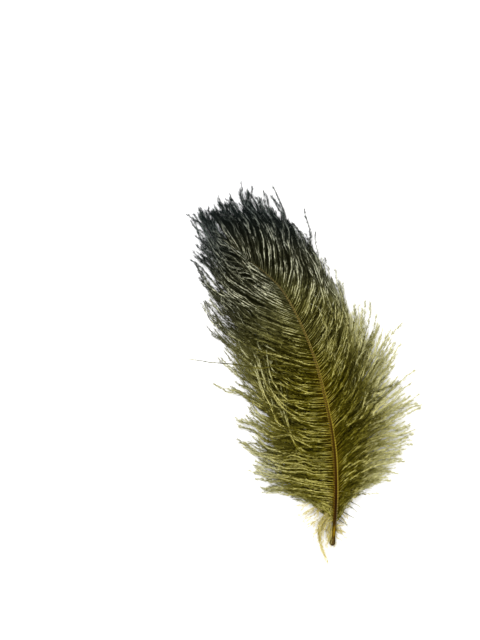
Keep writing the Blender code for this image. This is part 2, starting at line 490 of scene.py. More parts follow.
class Shader:
    """A material under construction: its nodes and the links between them."""

    def __init__(self, name: str) -> None:
        """Starts a material with a Principled shader."""
        self.material = bpy.data.materials.new(name)
        self.material.use_nodes = True
        self.tree = self.material.node_tree
        self.surface = self.tree.nodes["Principled BSDF"]

    def node(
        self,
        kind: str,
        inputs: dict[str | int, object] | None = None,
        **settings: object,
    ) -> bpy.types.Node:
        """Adds a node to the material.

        Args:
            kind: Blender's name for the node's type.
            inputs: A value, or a socket to link from, for each named input.
            settings: Properties of the node.

        Returns:
            The node.
        """
        made = self.tree.nodes.new(kind)
        for name, value in settings.items():
            setattr(made, name, value)
        for name, value in (inputs or {}).items():
            self.feed(made.inputs[name], value)
        return made

    def feed(self, socket: bpy.types.NodeSocket, value: object) -> None:
        """Links a socket from another one, or sets its value."""
        if isinstance(value, bpy.types.NodeSocket):
            self.tree.links.new(value, socket)
        else:
            socket.default_value = value

    def set(self, **values: object) -> None:
        """Feeds the shader's sockets, with underscores for the spaces in their names."""
        for name, value in values.items():
            self.feed(self.surface.inputs[name.replace("_", " ")], value)

    def ramp(self, factor: bpy.types.NodeSocket, stops: Sequence[tuple]) -> bpy.types.NodeSocket:
        """A colour ramp.

        Args:
            factor: What the ramp reads.
            stops: A position and a linear colour for each stop.

        Returns:
            The ramp's colour socket.
        """
        made = self.node("ShaderNodeValToRGB", {0: factor})
        elements = made.color_ramp.elements
        elements.remove(elements[-1])
        for number, (position, colour) in enumerate(stops):
            stop = elements[0] if number == 0 else elements.new(position)
            stop.position, stop.color = position, (*colour, 1.0)
        return made.outputs[0]

    def blend(
        self,
        factor: object,
        first: object,
        second: object,
        mode: str = "MIX",
    ) -> bpy.types.NodeSocket:
        """Mixes two colours.

        Args:
            factor: How much of the second shows.
            first: A colour or a socket.
            second: A colour or a socket.
            mode: Blender's name for the way of mixing.

        Returns:
            The mixed colour's socket.
        """
        made = self.node("ShaderNodeMix", data_type="RGBA", blend_type=mode)
        for name, value in (("Factor_Float", factor), ("A_Color", first), ("B_Color", second)):
            socket = next(s for s in made.inputs if s.identifier == name)
            self.feed(socket, value)
        return next(s for s in made.outputs if s.identifier == "Result_Color")

    def math(self, operation: str, *values: object) -> bpy.types.NodeSocket:
        """A number worked out from others."""
        inputs = dict(enumerate(values))
        return self.node("ShaderNodeMath", inputs, operation=operation).outputs[0]


@dataclass(frozen=True)
class BarbDyeAndPaintedLight:
    """Dyed barbs in painted light: near-black olive painted shade deep in the fluff, pale khaki
    painted highlight on top.
    """

    roughness: float = 0.7
    specular: float = 0.0
    half_lit: float = 0.5
    speckle_scale: float = 45.0
    speckle_ends: Span = (0.35, 0.65)
    speckle_low: Colour = (0.86, 0.84, 0.76)
    speckle_high: Colour = (1.12, 1.13, 1.16)

    def material(self) -> bpy.types.Material:
        """Reads the dye and the painted light of each strand from its look.

        Returns:
            The material of all the barbs and barbules.
        """
        shader = Shader("dyed_barbs")
        look = shader.node("ShaderNodeUVMap", uv_map=LOOK_MAP).outputs[0]
        parts = shader.node("ShaderNodeSeparateXYZ", {0: look})
        dye, light = parts.outputs[0], parts.outputs[1]
        # Painted light: shade colours for the shade deep in the fluff, pale ones for highlights on
        # top.
        shade, body, pale = (
            shader.ramp(dye, [(row[0].value, row[column]) for row in BARB_PAINTED_LIGHT_COLOURS])
            for column in (1, 2, 3)
        )
        low = shader.node("ShaderNodeMapRange", {0: light, "From Max": self.half_lit})
        high = shader.node("ShaderNodeMapRange", {0: light, "From Min": self.half_lit})
        colour = shader.blend(low.outputs[0], shade, body)
        colour = shader.blend(high.outputs[0], colour, pale)
        speckle = shader.node("ShaderNodeTexNoise", {"Vector": look, "Scale": self.speckle_scale})
        stops = tuple(zip(self.speckle_ends, (self.speckle_low, self.speckle_high)))
        colour = shader.blend(1.0, colour, shader.ramp(speckle.outputs[0], stops), "MULTIPLY")
        shader.set(
            Base_Color=colour,
            Roughness=self.roughness,
            Specular_IOR_Level=self.specular,
        )
        return shader.material


@dataclass(frozen=True)
class HornColourAndPaintedHighlight:
    """The horn of the quill and the shaft: amber at the quill, red-brown along the groove.

    Fine notches cross it where barbs leave its walls, and stand like beads along its far half.
    Where the walls start is a share of the way round the shaft from its underside. A grey-white
    highlight is painted along its right wall near the quill.
    """

    left_wall_from: Span = (0.54, 0.59)
    right_wall_to: Span = (0.40, 0.44)
    roughness_low: float = 0.36
    roughness_high: float = 0.62
    fibre_scale: float = 260.0
    fibre_stretch: tuple[float, float, float] = (7.0, 1.0, 1.0)
    fibre_detail: float = 5.0
    streak_ends: Span = (0.3, 0.7)
    streak_dark: Colour = (0.66, 0.60, 0.50)
    streak_light: Colour = (1.20, 1.15, 1.00)
    bump_height: float = 0.00012
    notches: float = 130.0
    notch_tilt: float = 2.5
    notch_shade: float = 0.35
    notch_light: float = 1.42
    bead_start: float = 0.30
    bead_end: float = 0.50
    bead_most: float = 0.75
    specular: float = 0.02

    def material(self) -> bpy.types.Material:
        """Reads the place across the shaft and the share along it from the shaft's look.

        Returns:
            The material of the shaft.
        """
        shader = Shader("quill_horn")
        look = shader.node("ShaderNodeUVMap", uv_map=LOOK_MAP).outputs[0]
        parts = shader.node("ShaderNodeSeparateXYZ", {0: look})
        across, up = parts.outputs[0], parts.outputs[1]
        middle = shader.ramp(up, GROOVE_COLOURS)
        right_wall = shader.ramp(up, RIGHT_WALL_COLOURS_AND_HIGHLIGHT)
        left_wall = shader.ramp(up, LEFT_WALL_COLOURS)
        off, on = (0.0, 0.0, 0.0), (1.0, 1.0, 1.0)
        on_left = shader.ramp(across, tuple(zip(self.left_wall_from, (off, on))))
        on_right = shader.ramp(across, tuple(zip(self.right_wall_to, (on, off))))
        place = shader.node("ShaderNodeTexCoord").outputs["Object"]
        stretched = shader.node("ShaderNodeMapping", {0: place, "Scale": self.fibre_stretch})
        fibres = shader.node(
            "ShaderNodeTexNoise",
            {
                "Vector": stretched.outputs[0],
                "Scale": self.fibre_scale,
                "Detail": self.fibre_detail,
            },
        )
        aside = shader.math("ABSOLUTE", shader.math("SUBTRACT", across, 2 * QUARTER_TURN))
        tilted = shader.math("MULTIPLY", aside, self.notch_tilt * math.tau)
        turns = shader.math("MULTIPLY", up, self.notches * math.tau)
        swing = shader.math("SINE", shader.math("SUBTRACT", turns, tilted))
        notch = shader.node(
            "ShaderNodeMapRange",
            {0: swing, "From Min": -1.0, "To Min": self.notch_shade, "To Max": self.notch_light},
        )
        notched = shader.node("ShaderNodeCombineColor", dict.fromkeys(range(3), notch.outputs[0]))
        beaded = shader.blend(1.0, middle, notched.outputs[0], "MULTIPLY")
        beads = shader.node(
            "ShaderNodeMapRange",
            {
                0: up,
                "From Min": self.bead_start,
                "From Max": self.bead_end,
                "To Max": self.bead_most,
            },
        )
        middle = shader.blend(beads.outputs[0], middle, beaded)
        left_wall = shader.blend(1.0, left_wall, notched.outputs[0], "MULTIPLY")
        right_wall = shader.blend(1.0, right_wall, notched.outputs[0], "MULTIPLY")
        colour = shader.blend(on_left, middle, left_wall)
        colour = shader.blend(on_right, colour, right_wall)
        stops = tuple(zip(self.streak_ends, (self.streak_dark, self.streak_light)))
        streak = shader.ramp(fibres.outputs[0], stops)
        colour = shader.blend(1.0, colour, streak, "MULTIPLY")
        rough = shader.node(
            "ShaderNodeMapRange",
            {0: fibres.outputs[0], "To Min": self.roughness_low, "To Max": self.roughness_high},
        )
        bump = shader.node(
            "ShaderNodeBump", {"Height": fibres.outputs[0], "Distance": self.bump_height}
        )
        shader.set(
            Base_Color=colour,
            Roughness=rough.outputs[0],
            Normal=bump.outputs[0],
            Specular_IOR_Level=self.specular,
        )
        return shader.material


@dataclass(frozen=True)
class TableWithPaintedFalloff:
    """A bright white board, painted darker and cooler towards its far left as a falloff of the
    light.
    """

    near: Colour = (0.90, 0.90, 0.90)
    # The far colour is painted shade: the board where less light falls.
    far: Colour = (0.74, 0.76, 0.84)
    fade_from: float = 0.08
    fade_to: float = 0.45
    roughness: float = 0.7

    def material(self) -> bpy.types.Material:
        """Fades from the near colour to the far one across the board: the painted falloff of the
        light.

        Returns:
            The table's material.
        """
        shader = Shader("white_board")
        place = shader.node("ShaderNodeTexCoord").outputs["Object"]
        parts = shader.node("ShaderNodeSeparateXYZ", {0: place})
        away = shader.math("SUBTRACT", parts.outputs[1], parts.outputs[0])
        reach = {0: away, "From Min": self.fade_from, "From Max": self.fade_to}
        fade = shader.node("ShaderNodeMapRange", reach)
        colour = shader.blend(fade.outputs[0], (*self.near, 1.0), (*self.far, 1.0))
        shader.set(Base_Color=colour, Roughness=self.roughness)
        return shader.material


@dataclass
class Shaft:
    """The quill and the shaft in one grooved, tapering tube with a rounded quill end."""

    line: ShaftLine
    rings: int = 240
    sides: int = 32
    groove_depth: float = 0.20
    groove_turn: float = 0.34
    groove_starts: Span = (0.07, 0.14)
    end_rings: int = 12

    def _shares(self) -> Array:
        """Where the rings stand: close together round the quill's end, then evenly."""
        rounded = float(self.line.half_width(np.array(0.0))) / self.line.length()
        turn = np.linspace(0, np.pi / 2, self.end_rings, endpoint=False)[1:]
        end = rounded * (1 - np.cos(turn))
        return np.concatenate([end, np.linspace(rounded, 1, self.rings)])

    def _halves(self, share: Array) -> Array:
        """Half widths, with the quill's end rounded off."""
        half = self.line.half_width(share)
        from_end = np.clip(share * self.line.length() / half[0], 0, 1)
        return half * np.sqrt(np.clip(1 - (1 - from_end) ** 2, 0, 1))

    def build(self, finish: bpy.types.Material) -> bpy.types.Object:
        """Makes the shaft and puts it in place of the solid one.

        Args:
            finish: The horn's material.

        Returns:
            The shaft.
        """
        share = self._shares()
        half = self._halves(share)
        across = np.linspace(0, 1, self.sides + 1)
        turn = (across - QUARTER_TURN) * math.tau
        from_top = np.abs(turn - np.pi / 2)
        grooved = ease(self.groove_starts, share)[:, None]
        dip = self.groove_depth * np.exp(-((from_top / self.groove_turn) ** 2))[None, :] * grooved
        wide = np.cos(turn)[None, :] * half[:, None]
        rise = (np.sin(turn) * self.line.flatness - dip) * half[:, None]
        middle, right = self.line.middle(share), self.line.right(share)
        plan = middle[:, None, :] + right[:, None, :] * wide[..., None]
        height = self.line.height(share)[:, None] + rise
        rings = np.concatenate([plan, height[..., None]], axis=-1)
        ends = np.stack(
            [
                [*self.line.middle(np.array(0.0)), self.line.height(np.array(0.0))],
                [*middle[-1] + self.line.ahead(np.array(1.0)) * half[-1], height[-1].mean()],
            ]
        )
        points = np.vstack([rings.reshape(-1, 3), ends])
        shape = (len(share), len(across))
        looks = np.stack(np.broadcast_arrays(across[None, :], share[:, None]), -1)
        end_looks = [[2 * QUARTER_TURN, 0.0], [2 * QUARTER_TURN, 1.0]]
        looks = np.vstack([looks.reshape(-1, 2), end_looks])
        number = np.arange(shape[0] * shape[1]).reshape(shape)
        beside, number = number[:, 1:], number[:, :-1]
        walls = np.stack([number[:-1], number[1:], beside[1:], beside[:-1]], -1).reshape(-1, 4)
        first = np.full(self.sides, len(points) - 2)
        last = np.full(self.sides, len(points) - 1)
        caps = np.vstack(
            [
                np.stack([first, number[0], beside[0]], -1),
                np.stack([last, beside[-1], number[-1]], -1),
            ]
        )
        weave = Weave()
        weave.add(points, looks, walls, caps)
        piece = weave.make("shaft_horn", finish)
        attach(piece, BODY)
        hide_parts("shaft")
        return piece


@dataclass
class Bunch:
    """Locks, strands or barbs: where each leaves the shaft, and how it differs from the keys.

    It differs by a size, by turns where it leaves and at its tip, and by the curl of its end.
    """

    share: Array
    size: Array
    leave: Array
    tip: Array
    curl: Array


@dataclass
class Kinship:
    """The strand and the lock of each barb, and how closely it keeps to them.

    A barb may lie off the middle of its lock, hook over its neighbours, or stray from them.
    """

    strand: Array
    lock: Array
    off_middle: Array
    hooked: Array
    stray: Array


@dataclass
class Barbs:
    """Barbs as rows of points, with what the barbules and the colours need to know.

    Each has its kin, its lift over the others and its length. A share of it may be bare at the
    tip, and short barbs reach less far towards the pale rim.
    """

    points: Array
    kin: Kinship
    locks: Bunch
    lift: Array
    length: Array
    bare: Array
    reach: Array


@dataclass(frozen=True)
class Growth:
    """How the barbs of one vane grow: in strands of a few barbs, and in locks of a few strands.

    The keys give a barb's length and the directions in which it leaves and ends, and every lock,
    strand and barb differs from them by a size and two turns. The barbs near the tip are fine:
    each goes more its own way. A part is a share of a barb's length, from the shaft to its tip.
    """

    line: ShaftLine
    side: Side
    keys: Keys
    seed: int
    # Where the vane starts and ends on the shaft, and how many barbs share it.
    start: float = 0.075
    end: float = 1.0
    barb_count: int = 176
    strand_count: int = 108
    lock_count: int = 22
    barb_steps: int = 40
    # How a barb bends on its way, and where the vane is fine and where it is low.
    root_inset: float = 0.80
    turn_power: float = 1.6
    end_part: Span = (0.6, 1.0)
    fine_ends: Span = (0.40, 0.64)
    fine_turns: float = 0.6
    fine_pull: float = 0.5
    low_ends: Span = (0.25, 0.45)
    # By how much locks, strands and barbs differ in size and direction.
    lock_sizes: Span = (0.93, 1.09)
    strand_sizes: Span = (0.93, 1.06)
    own_sizes: Span = (0.88, 1.06)
    lock_point: float = 0.13
    lock_turns: Span = (1.1, 2.4)
    strand_turns: Span = (1.2, 3.5)
    own_turns: Span = (1.0, 4.0)
    stray_share: float = 0.22
    stray_turn: float = 3.0
    # The short barbs that hook over the others.
    hook_share: float = 0.30
    hook_starts: Span = (0.16, 0.28)
    hook_ends: Span = (0.46, 0.62)
    hook_sizes: Span = (0.50, 0.85)
    hook_turn: float = 0.0
    hook_curl: float = 55.0
    hook_lifts: Span = (0.5, 1.0)
    hook_reach: float = 0.4
    # How the ends curl, and how firmly strands and locks hold their barbs.
    curl: float = 9.0
    own_curl: float = 0.8
    grips: Span = (0.7, 1.15)
    stray_grip: float = 0.1
    grip_part: Span = (0.08, 0.45)
    strand_pull: float = 0.60
    strand_slack: float = 0.5
    lock_pull: float = 0.26
    lock_part: Span = (0.35, 1.0)
    low_pull: float = 0.0
    # How far locks, strands and barbs wander.
    sways: tuple[float, float, float] = (0.0011, 0.00028, 0.00016)
    sway_knots: tuple[int, int, int] = (6, 9, 14)
    full_length: float = 0.060
    least_sway: float = 0.2
    # How high the barbs lie over one another and over the table. Their roots rise or sink at
    # the shaft's side by shares of its half width.
    lock_lifts: Span = (0.25, 0.10)
    strand_lifts: Span = (0.40, 0.15)
    least_lift: float = 0.0
    swell: float = 0.0045
    swell_power: float = 0.65
    swell_shares: Span = (-0.45, 1.05)
    bed_swell: float = 0.3
    fall_power: float = 1.25
    edge_height: float = 0.0010
    root_rise: Span = (-0.30, 0.65)
    tip_rise: float = 0.003
    clearances: Span = (0.0004, 0.0012)
    # The barbs whose tips are bare.
    bare_share: float = 0.45
    bare_parts: Span = (0.04, 0.12)

    def fineness(self, share: Array) -> Array:
        """How far the barbs at a share of the vane go their own ways, which they do to the tip."""
        return ease(self.fine_ends, share)

    def lowness(self, share: Array) -> Array:
        """How far a share of the vane lies in its lower part."""
        return 1 - ease(self.low_ends, share)

    def curves(self, bunch: Bunch) -> Array:
        """The plan of each member of a bunch, as points from the shaft to its tip.

        Args:
            bunch: Locks, strands or barbs.

        Returns:
            An array of members by points by two.
        """
        length = along(self.keys, bunch.share, 1) * bunch.size
        leave = along(self.keys, bunch.share, 2) + bunch.leave
        tip = along(self.keys, bunch.share, 3) + bunch.tip
        along_shaft = mix(self.start, self.end, bunch.share)
        root = self.line.middle(along_shaft)
        out = self.line.right(along_shaft) * self.side.value
        root = root + out * (self.line.half_width(along_shaft) * self.root_inset)[:, None]
        part = (np.arange(self.barb_steps) + 0.5) / self.barb_steps
        turn = tip[:, None] + (leave - tip)[:, None] * (1 - part) ** self.turn_power
        turn = turn + bunch.curl[:, None] * ease(self.end_part, part)
        steps = ways(turn) * (length / self.barb_steps)[:, None, None]
        return np.concatenate([root[:, None], root[:, None] + np.cumsum(steps, axis=1)], axis=1)

    def rest_height(self, share: Array, part: Array, swollen: Array | float) -> Array:
        """The height at which barbs lie.

        Args:
            share: Where each leaves the shaft, as a share of the vane.
            part: How far out along its barb each place is.
            swollen: How much of the vane's swell the place has.

        Returns:
            Heights over the table.
        """
        root = self.line.height(mix(self.start, self.end, share))
        fall = (1 - part) ** self.fall_power
        swell = swollen * self.swell * np.sin(np.pi * part**self.swell_power)
        return mix(self.edge_height, root, fall) + swell

    def _bunches(self, dice: np.random.Generator) -> tuple[Bunch, Bunch, Bunch, Kinship]:
        """Shares the barbs out among strands and locks, and gives each its size and its turns.

        Args:
            dice: The vane's random numbers.

        Returns:
            The locks, the strands, the barbs, and which belongs to which.
        """
        barbs, strands, locks = self.barb_count, self.strand_count, self.lock_count
        share, strand_share, lock_share = (spread(count, dice) for count in (barbs, strands, locks))
        strand = nearest(share, strand_share)
        strand_lock = nearest(strand_share, lock_share)
        steady = 1 - self.fine_turns * self.fineness(lock_share)
        lock_bunch = Bunch(
            lock_share,
            size=dice.uniform(*self.lock_sizes, locks),
            leave=dice.normal(0, self.lock_turns[0], locks) * steady,
            tip=dice.normal(0, self.lock_turns[1], locks) * steady,
            curl=np.zeros(locks),
        )
        strand_bunch = Bunch(
            strand_share,
            size=lock_bunch.size[strand_lock] * dice.uniform(*self.strand_sizes, strands),
            leave=lock_bunch.leave[strand_lock] + dice.normal(0, self.strand_turns[0], strands),
            tip=lock_bunch.tip[strand_lock] + dice.normal(0, self.strand_turns[1], strands),
            curl=np.zeros(strands),
        )
        hook_chance = self.hook_share * ease(self.hook_starts, share)
        hooked = dice.random(barbs) < hook_chance * (1 - ease(self.hook_ends, share))
        stray = (dice.random(barbs) < self.stray_share) | hooked
        lock = strand_lock[strand]
        off_middle = apart(share, lock_share, lock)
        kin = Kinship(strand, lock, off_middle, hooked, stray)
        size = strand_bunch.size[strand] * dice.uniform(*self.own_sizes, barbs)
        size = size * pointed(self.lock_point, off_middle)
        size = np.where(hooked, size * dice.uniform(*self.hook_sizes, barbs), size)
        loose = np.where(stray, self.stray_turn, 1.0)
        leave = strand_bunch.leave[strand] + dice.normal(0, self.own_turns[0], barbs) * loose
        tip = strand_bunch.tip[strand] + dice.normal(0, self.own_turns[1], barbs) * loose
        strand_bunch.curl = dice.normal(0, self.curl, strands)
        curl = strand_bunch.curl[strand] + dice.normal(0, self.curl * self.own_curl, barbs)
        curl = np.where(hooked, dice.normal(self.hook_turn, self.hook_curl, barbs), curl)
        return lock_bunch, strand_bunch, Bunch(share, size, leave, tip, curl), kin

    def _sway(self, plan: Array, kin: Kinship, dice: np.random.Generator) -> Array:
        """Lets the barbs wander: far with their lock, less with their strand, a little alone.

        Args:
            plan: Barbs in plan.
            kin: The strand and the lock of each barb.
            dice: The vane's random numbers.

        Returns:
            The barbs with their waves.
        """
        count, rings = plan.shape[:2]
        part = np.linspace(0, 1, rings)
        swing = np.zeros((count, rings))
        owners = (kin.lock, kin.strand, np.arange(count))
        for owner, knots, sway in zip(owners, self.sway_knots, self.sways):
            rows = dice.normal(0, sway, (owner.max() + 1, knots))
            places = np.tile(part, count)
            swing += wander(rows, np.repeat(owner, rings), places).reshape(count, rings)
        ahead = unit(np.gradient(plan, axis=1))
        across = np.stack([-ahead[..., 1], ahead[..., 0]], axis=-1)
        reach = np.linalg.norm(plan[:, -1] - plan[:, 0], axis=1) / self.full_length
        swing = swing * ease(self.grip_part, part) * np.clip(reach, self.least_sway, 1)[:, None]
        return plan + across * swing[..., None]

    def _heights(
        self, share: Array, kin: Kinship, dice: np.random.Generator
    ) -> tuple[Array, Array]:
        """Lays the barbs over one another.

        Args:
            share: Where each barb leaves the shaft, as a share of the vane.
            kin: The strand and the lock of each barb.
            dice: The vane's random numbers.

        Returns:
            How far each barb is lifted over the others, and the heights of its points.
        """
        count = self.barb_count
        lock_lift, strand_lift = dice.random(self.lock_count), dice.random(self.strand_count)
        fine = self.fineness(share)
        by_lock, by_strand = mix(*self.lock_lifts, fine), mix(*self.strand_lifts, fine)
        lift = mix(dice.random(count), strand_lift[kin.strand], by_strand / (1 - by_lock))
        lift = mix(lift, lock_lift[kin.lock], by_lock)
        lift = np.where(kin.hooked, mix(*self.hook_lifts, lift), lift)
        lift = mix(self.least_lift, 1.0, lift)
        part = np.linspace(0, 1, self.barb_steps + 1)[None, :]
        half = self.line.half_width(mix(self.start, self.end, share))
        rise = dice.uniform(*self.root_rise, count) * half
        end = dice.random(count) ** 2 * self.tip_rise
        swollen = mix(*self.swell_shares, lift)[:, None]
        height = self.rest_height(share[:, None], part, swollen)
        height = height + mix(rise[:, None], end[:, None], part)
        return lift, np.maximum(height, mix(*self.clearances, dice.random((count, 1))))

    def grow(self) -> Barbs:
        """Grows every barb of the vane.

        Returns:
            The barbs, from the quill to the tip.
        """
        dice = np.random.default_rng(self.seed)
        locks, strands, own, kin = self._bunches(dice)
        count = self.barb_count
        part = np.linspace(0, 1, self.barb_steps + 1)[None, :, None]
        grip = np.where(kin.stray, self.stray_grip, 1.0) * dice.uniform(*self.grips, count)
        grip = grip[:, None, None]
        own_way = self.fine_pull * self.fineness(own.share)[:, None, None]
        twist = self.strand_pull * grip * ease(self.grip_part, part)
        twist = twist * (1 - self.strand_slack * ease(self.end_part, part)) * (1 - own_way)
        plan = mix(self.curves(own), self.curves(strands)[kin.strand], twist)
        gathered = self.low_pull * self.lowness(own.share)[:, None, None]
        pull = self.lock_pull * (1 - own_way + gathered) * grip * ease(self.lock_part, part)
        plan = mix(plan, self.curves(locks)[kin.lock], pull)
        plan = self._sway(plan, kin, dice)
        lift, height = self._heights(own.share, kin, dice)
        bare = dice.random(count) < self.bare_share
        return Barbs(
            np.concatenate([plan, height[..., None]], axis=-1),
            kin,
            locks,
            lift,
            length=along(self.keys, own.share, 1) * own.size,
            bare=np.where(bare, dice.uniform(*self.bare_parts, count), 0.0),
            reach=np.where(kin.hooked, self.hook_reach, 1.0) * np.clip(own.size, 0, 1),
        )


@dataclass(frozen=True)
class Dyeing:
    """How the barbs of a vane are dyed, from amber at the shaft to blue-black at the tip.

    A part is a share of a barb's length, and ends are places along the feather in metres. The
    second dip reached farther up the barbs' ends than up their roots. The rim is the pale haze at
    the ends of the barbs: a painted glow of light through them, which raises their painted light
    and leaves their dye.
    """

    # From amber at the shaft to khaki, of which the lowest barbs have less, but for their tips.
    olive_part: Span = (0.0, 0.11)
    khaki_part: Span = (0.15, 0.80)
    khaki_ends: Span = (-0.05, 0.03)
    khaki_low: float = 0.40
    khaki_tip_part: Span = (0.45, 0.80)
    upper_ends: Span = (-0.012, 0.032)
    upper_least: float = 0.44
    # The second dip.
    dip_reach: float = 0.037
    ash_ends: Span = (0.030, 0.074)
    black_ends: Span = (0.068, 0.116)
    dipped_dyes: Span = (0.55, 0.70)
    # The rim of painted glow, low and high on the feather.
    rim_starts: Span = (0.40, 0.54)
    rim_fade: Span = (0.0, 0.34)
    rim_most: float = 1.0
    rim_dyes: Span = (0.58, 0.85)
    dipped_rim: float = 0.85

    def place(self, points: Array, part: Array) -> Array:
        """The place on the dye scale.

        Args:
            points: Places on the barbs.
            part: How far out along its barb each place is.

        Returns:
            One number on the scale of Dye for each place.
        """
        up = points[..., 1]
        dye = mix(Dye.AMBER.value, Dye.OLIVE.value, ease(self.olive_part, part))
        khaki = mix(self.khaki_low, 1.0, ease(self.khaki_ends, up))
        khaki = np.maximum(khaki, ease(self.khaki_tip_part, part))
        dye = mix(dye, Dye.KHAKI.value, ease(self.khaki_part, part) * khaki)
        dye = mix(dye, np.maximum(dye, self.upper_least), ease(self.upper_ends, up))
        dipped = up + self.dip_reach * part
        dye = mix(dye, Dye.ASH.value, ease(self.ash_ends, dipped))
        return mix(dye, Dye.BLUE_BLACK.value, ease(self.black_ends, dipped))

    def dipped(self, points: Array, part: Array) -> Array:
        """How far the dye of a place has gone from khaki to ash grey."""
        return ease(self.dipped_dyes, self.place(points, part))

    def rim(self, points: Array, part: Array) -> Array:
        """How far a place is in the pale rim of painted glow, which is hardly seen where the tip
        was dipped.
        """
        hidden = self.dipped_rim * ease(self.rim_dyes, self.place(points, part))
        begin = mix(*self.rim_starts, ease(self.khaki_ends, points[..., 1]))
        return self.rim_most * ease(self.rim_fade, part - begin) * (1 - hidden)


@dataclass(frozen=True)
class UndyedDown(Dyeing):
    """Down that the dye hardly took: straw all along, a little dyed at the root."""

    root_dye: float = 0.07
    root_part: Span = (0.0, 0.25)

    def place(self, points: Array, part: Array) -> Array:
        """The place on the dye scale, which the place on the feather doesn't change."""
        return mix(self.root_dye, Dye.STRAW.value, ease(self.root_part, part))


@dataclass(frozen=True)
class SpikeDyeing(Dyeing):
    """Stiff barbs that are olive at the root and grey-brown at the point."""

    point_part: Span = (0.0, 0.3)
    point_share: float = 0.85

    def place(self, points: Array, part: Array) -> Array:
        """The place on the dye scale, which the place on the feather doesn't change."""
        return mix(Dye.OLIVE.value, Dye.ASH.value, self.point_share * ease(self.point_part, part))


@dataclass(frozen=True)
class Lighting:
    """How far the places on the barbs of a vane are painted as standing in the light.

    The barbs that lie highest get painted highlights in dashes. Strands share some of their dashes,
    and locks share brighter and darker patches of painted light and shade. Starts and ends are
    shares of the vane's length.
    """

    # The painted highlight dashes of barbs, strands and locks, and how alike those of a strand are.
    seed_step: int = 5
    knots: tuple[int, int, int] = (17, 13, 5)
    alike: Span = (0.45, 0.10)
    least: float = 0.05
    between_dashes: float = 0.16
    dashes: Span = (0.36, 0.62)
    crest_lifts: Span = (0.18, 0.56)
    patch_lights: Span = (0.50, 1.20)
    patches: Span = (0.2, 0.8)
    # How the painted light changes on the upper vane, the lowest barbs and those that turn up in
    # arcs.
    upper_gleam: float = 0.13
    upper_ends: Span = (0.45, 0.75)
    upper_lift: float = 0.5
    low_light: float = 1.0
    low_ends: Span = (0.14, 0.46)
    arc_light: float = 1.0
    arc_starts: Span = (0.28, 0.44)
    arc_ends: Span = (0.58, 0.74)
    arc_part: Span = (0.06, 0.25)
    # Painted shade between the locks and close to the shaft.
    lock_shade: float = 1.0
    lock_edge: Span = (0.50, 1.0)
    inner_light: float = 0.85
    inner_part: Span = (0.08, 0.35)

    def gleam(self, growth: Growth, barbs: Barbs, owner: Array, part: Array) -> Array:
        """How far places are painted as standing in the light.

        Args:
            growth: How the barbs grew.
            barbs: All the vane's barbs.
            owner: Which barb.
            part: How far out along it.

        Returns:
            Painted light from 0 to 1.
        """
        dice = np.random.default_rng(growth.seed + self.seed_step)
        own_knots, strand_knots, lock_knots = self.knots
        own = dice.random((growth.barb_count, own_knots))
        shared = dice.random((growth.strand_count, strand_knots))[barbs.kin.strand]
        patch = dice.random((growth.lock_count, lock_knots))[barbs.kin.lock]
        share = owner / growth.barb_count
        alike = mix(*self.alike, growth.fineness(share))
        dashes = mix(wander(own, owner, part), wander(shared, owner, part), alike)
        upper = self.upper_gleam * ease(self.upper_ends, share)
        crest = ease(self.crest_lifts, barbs.lift[owner] + self.upper_lift * upper)
        light = crest * mix(self.between_dashes, 1.0, ease(self.dashes, dashes + upper))
        light = self.least + light
        light = light * mix(*self.patch_lights, ease(self.patches, wander(patch, owner, part)))
        light = light * mix(self.low_light, 1.0, ease(self.low_ends, share))
        arcs = ease(self.arc_starts, share) * (1 - ease(self.arc_ends, share))
        arcs = arcs * ease(self.arc_part, part)
        light = np.clip(light * mix(1.0, self.arc_light, arcs), 0, 1)
        beyond = ease(self.inner_part, part)
        shaded = ease(self.lock_edge, barbs.kin.off_middle[owner]) * beyond
        light = light * mix(1.0, self.lock_shade, growth.lowness(share) * shaded)
        return np.clip(light * mix(self.inner_light, 1.0, beyond), 0, 1)


@dataclass(frozen=True)
class PlainLighting(Lighting):
    """Painted light that only grows with how far a barb is lifted over the others."""

    lowest: float = 0.05
    by_lift: float = 1.10

    def gleam(self, growth: Growth, barbs: Barbs, owner: Array, part: Array) -> Array:
        """How far places are painted as standing in the light, which is the same all along a barb.
        """
        return np.clip(self.lowest + self.by_lift * barbs.lift[owner], 0, 1)


@dataclass
class Roots:
    """Where blades grow: their barb, place, tuft and root, and the barb's three directions."""

    owner: Array
    part: Array
    tuft: Array
    root: Array
    tangent: Array
    aside: Array
    over: Array

    def keep(self, kept: Array) -> "Roots":
        """The roots that are kept."""
        return Roots(*[value[kept] for value in vars(self).values()])


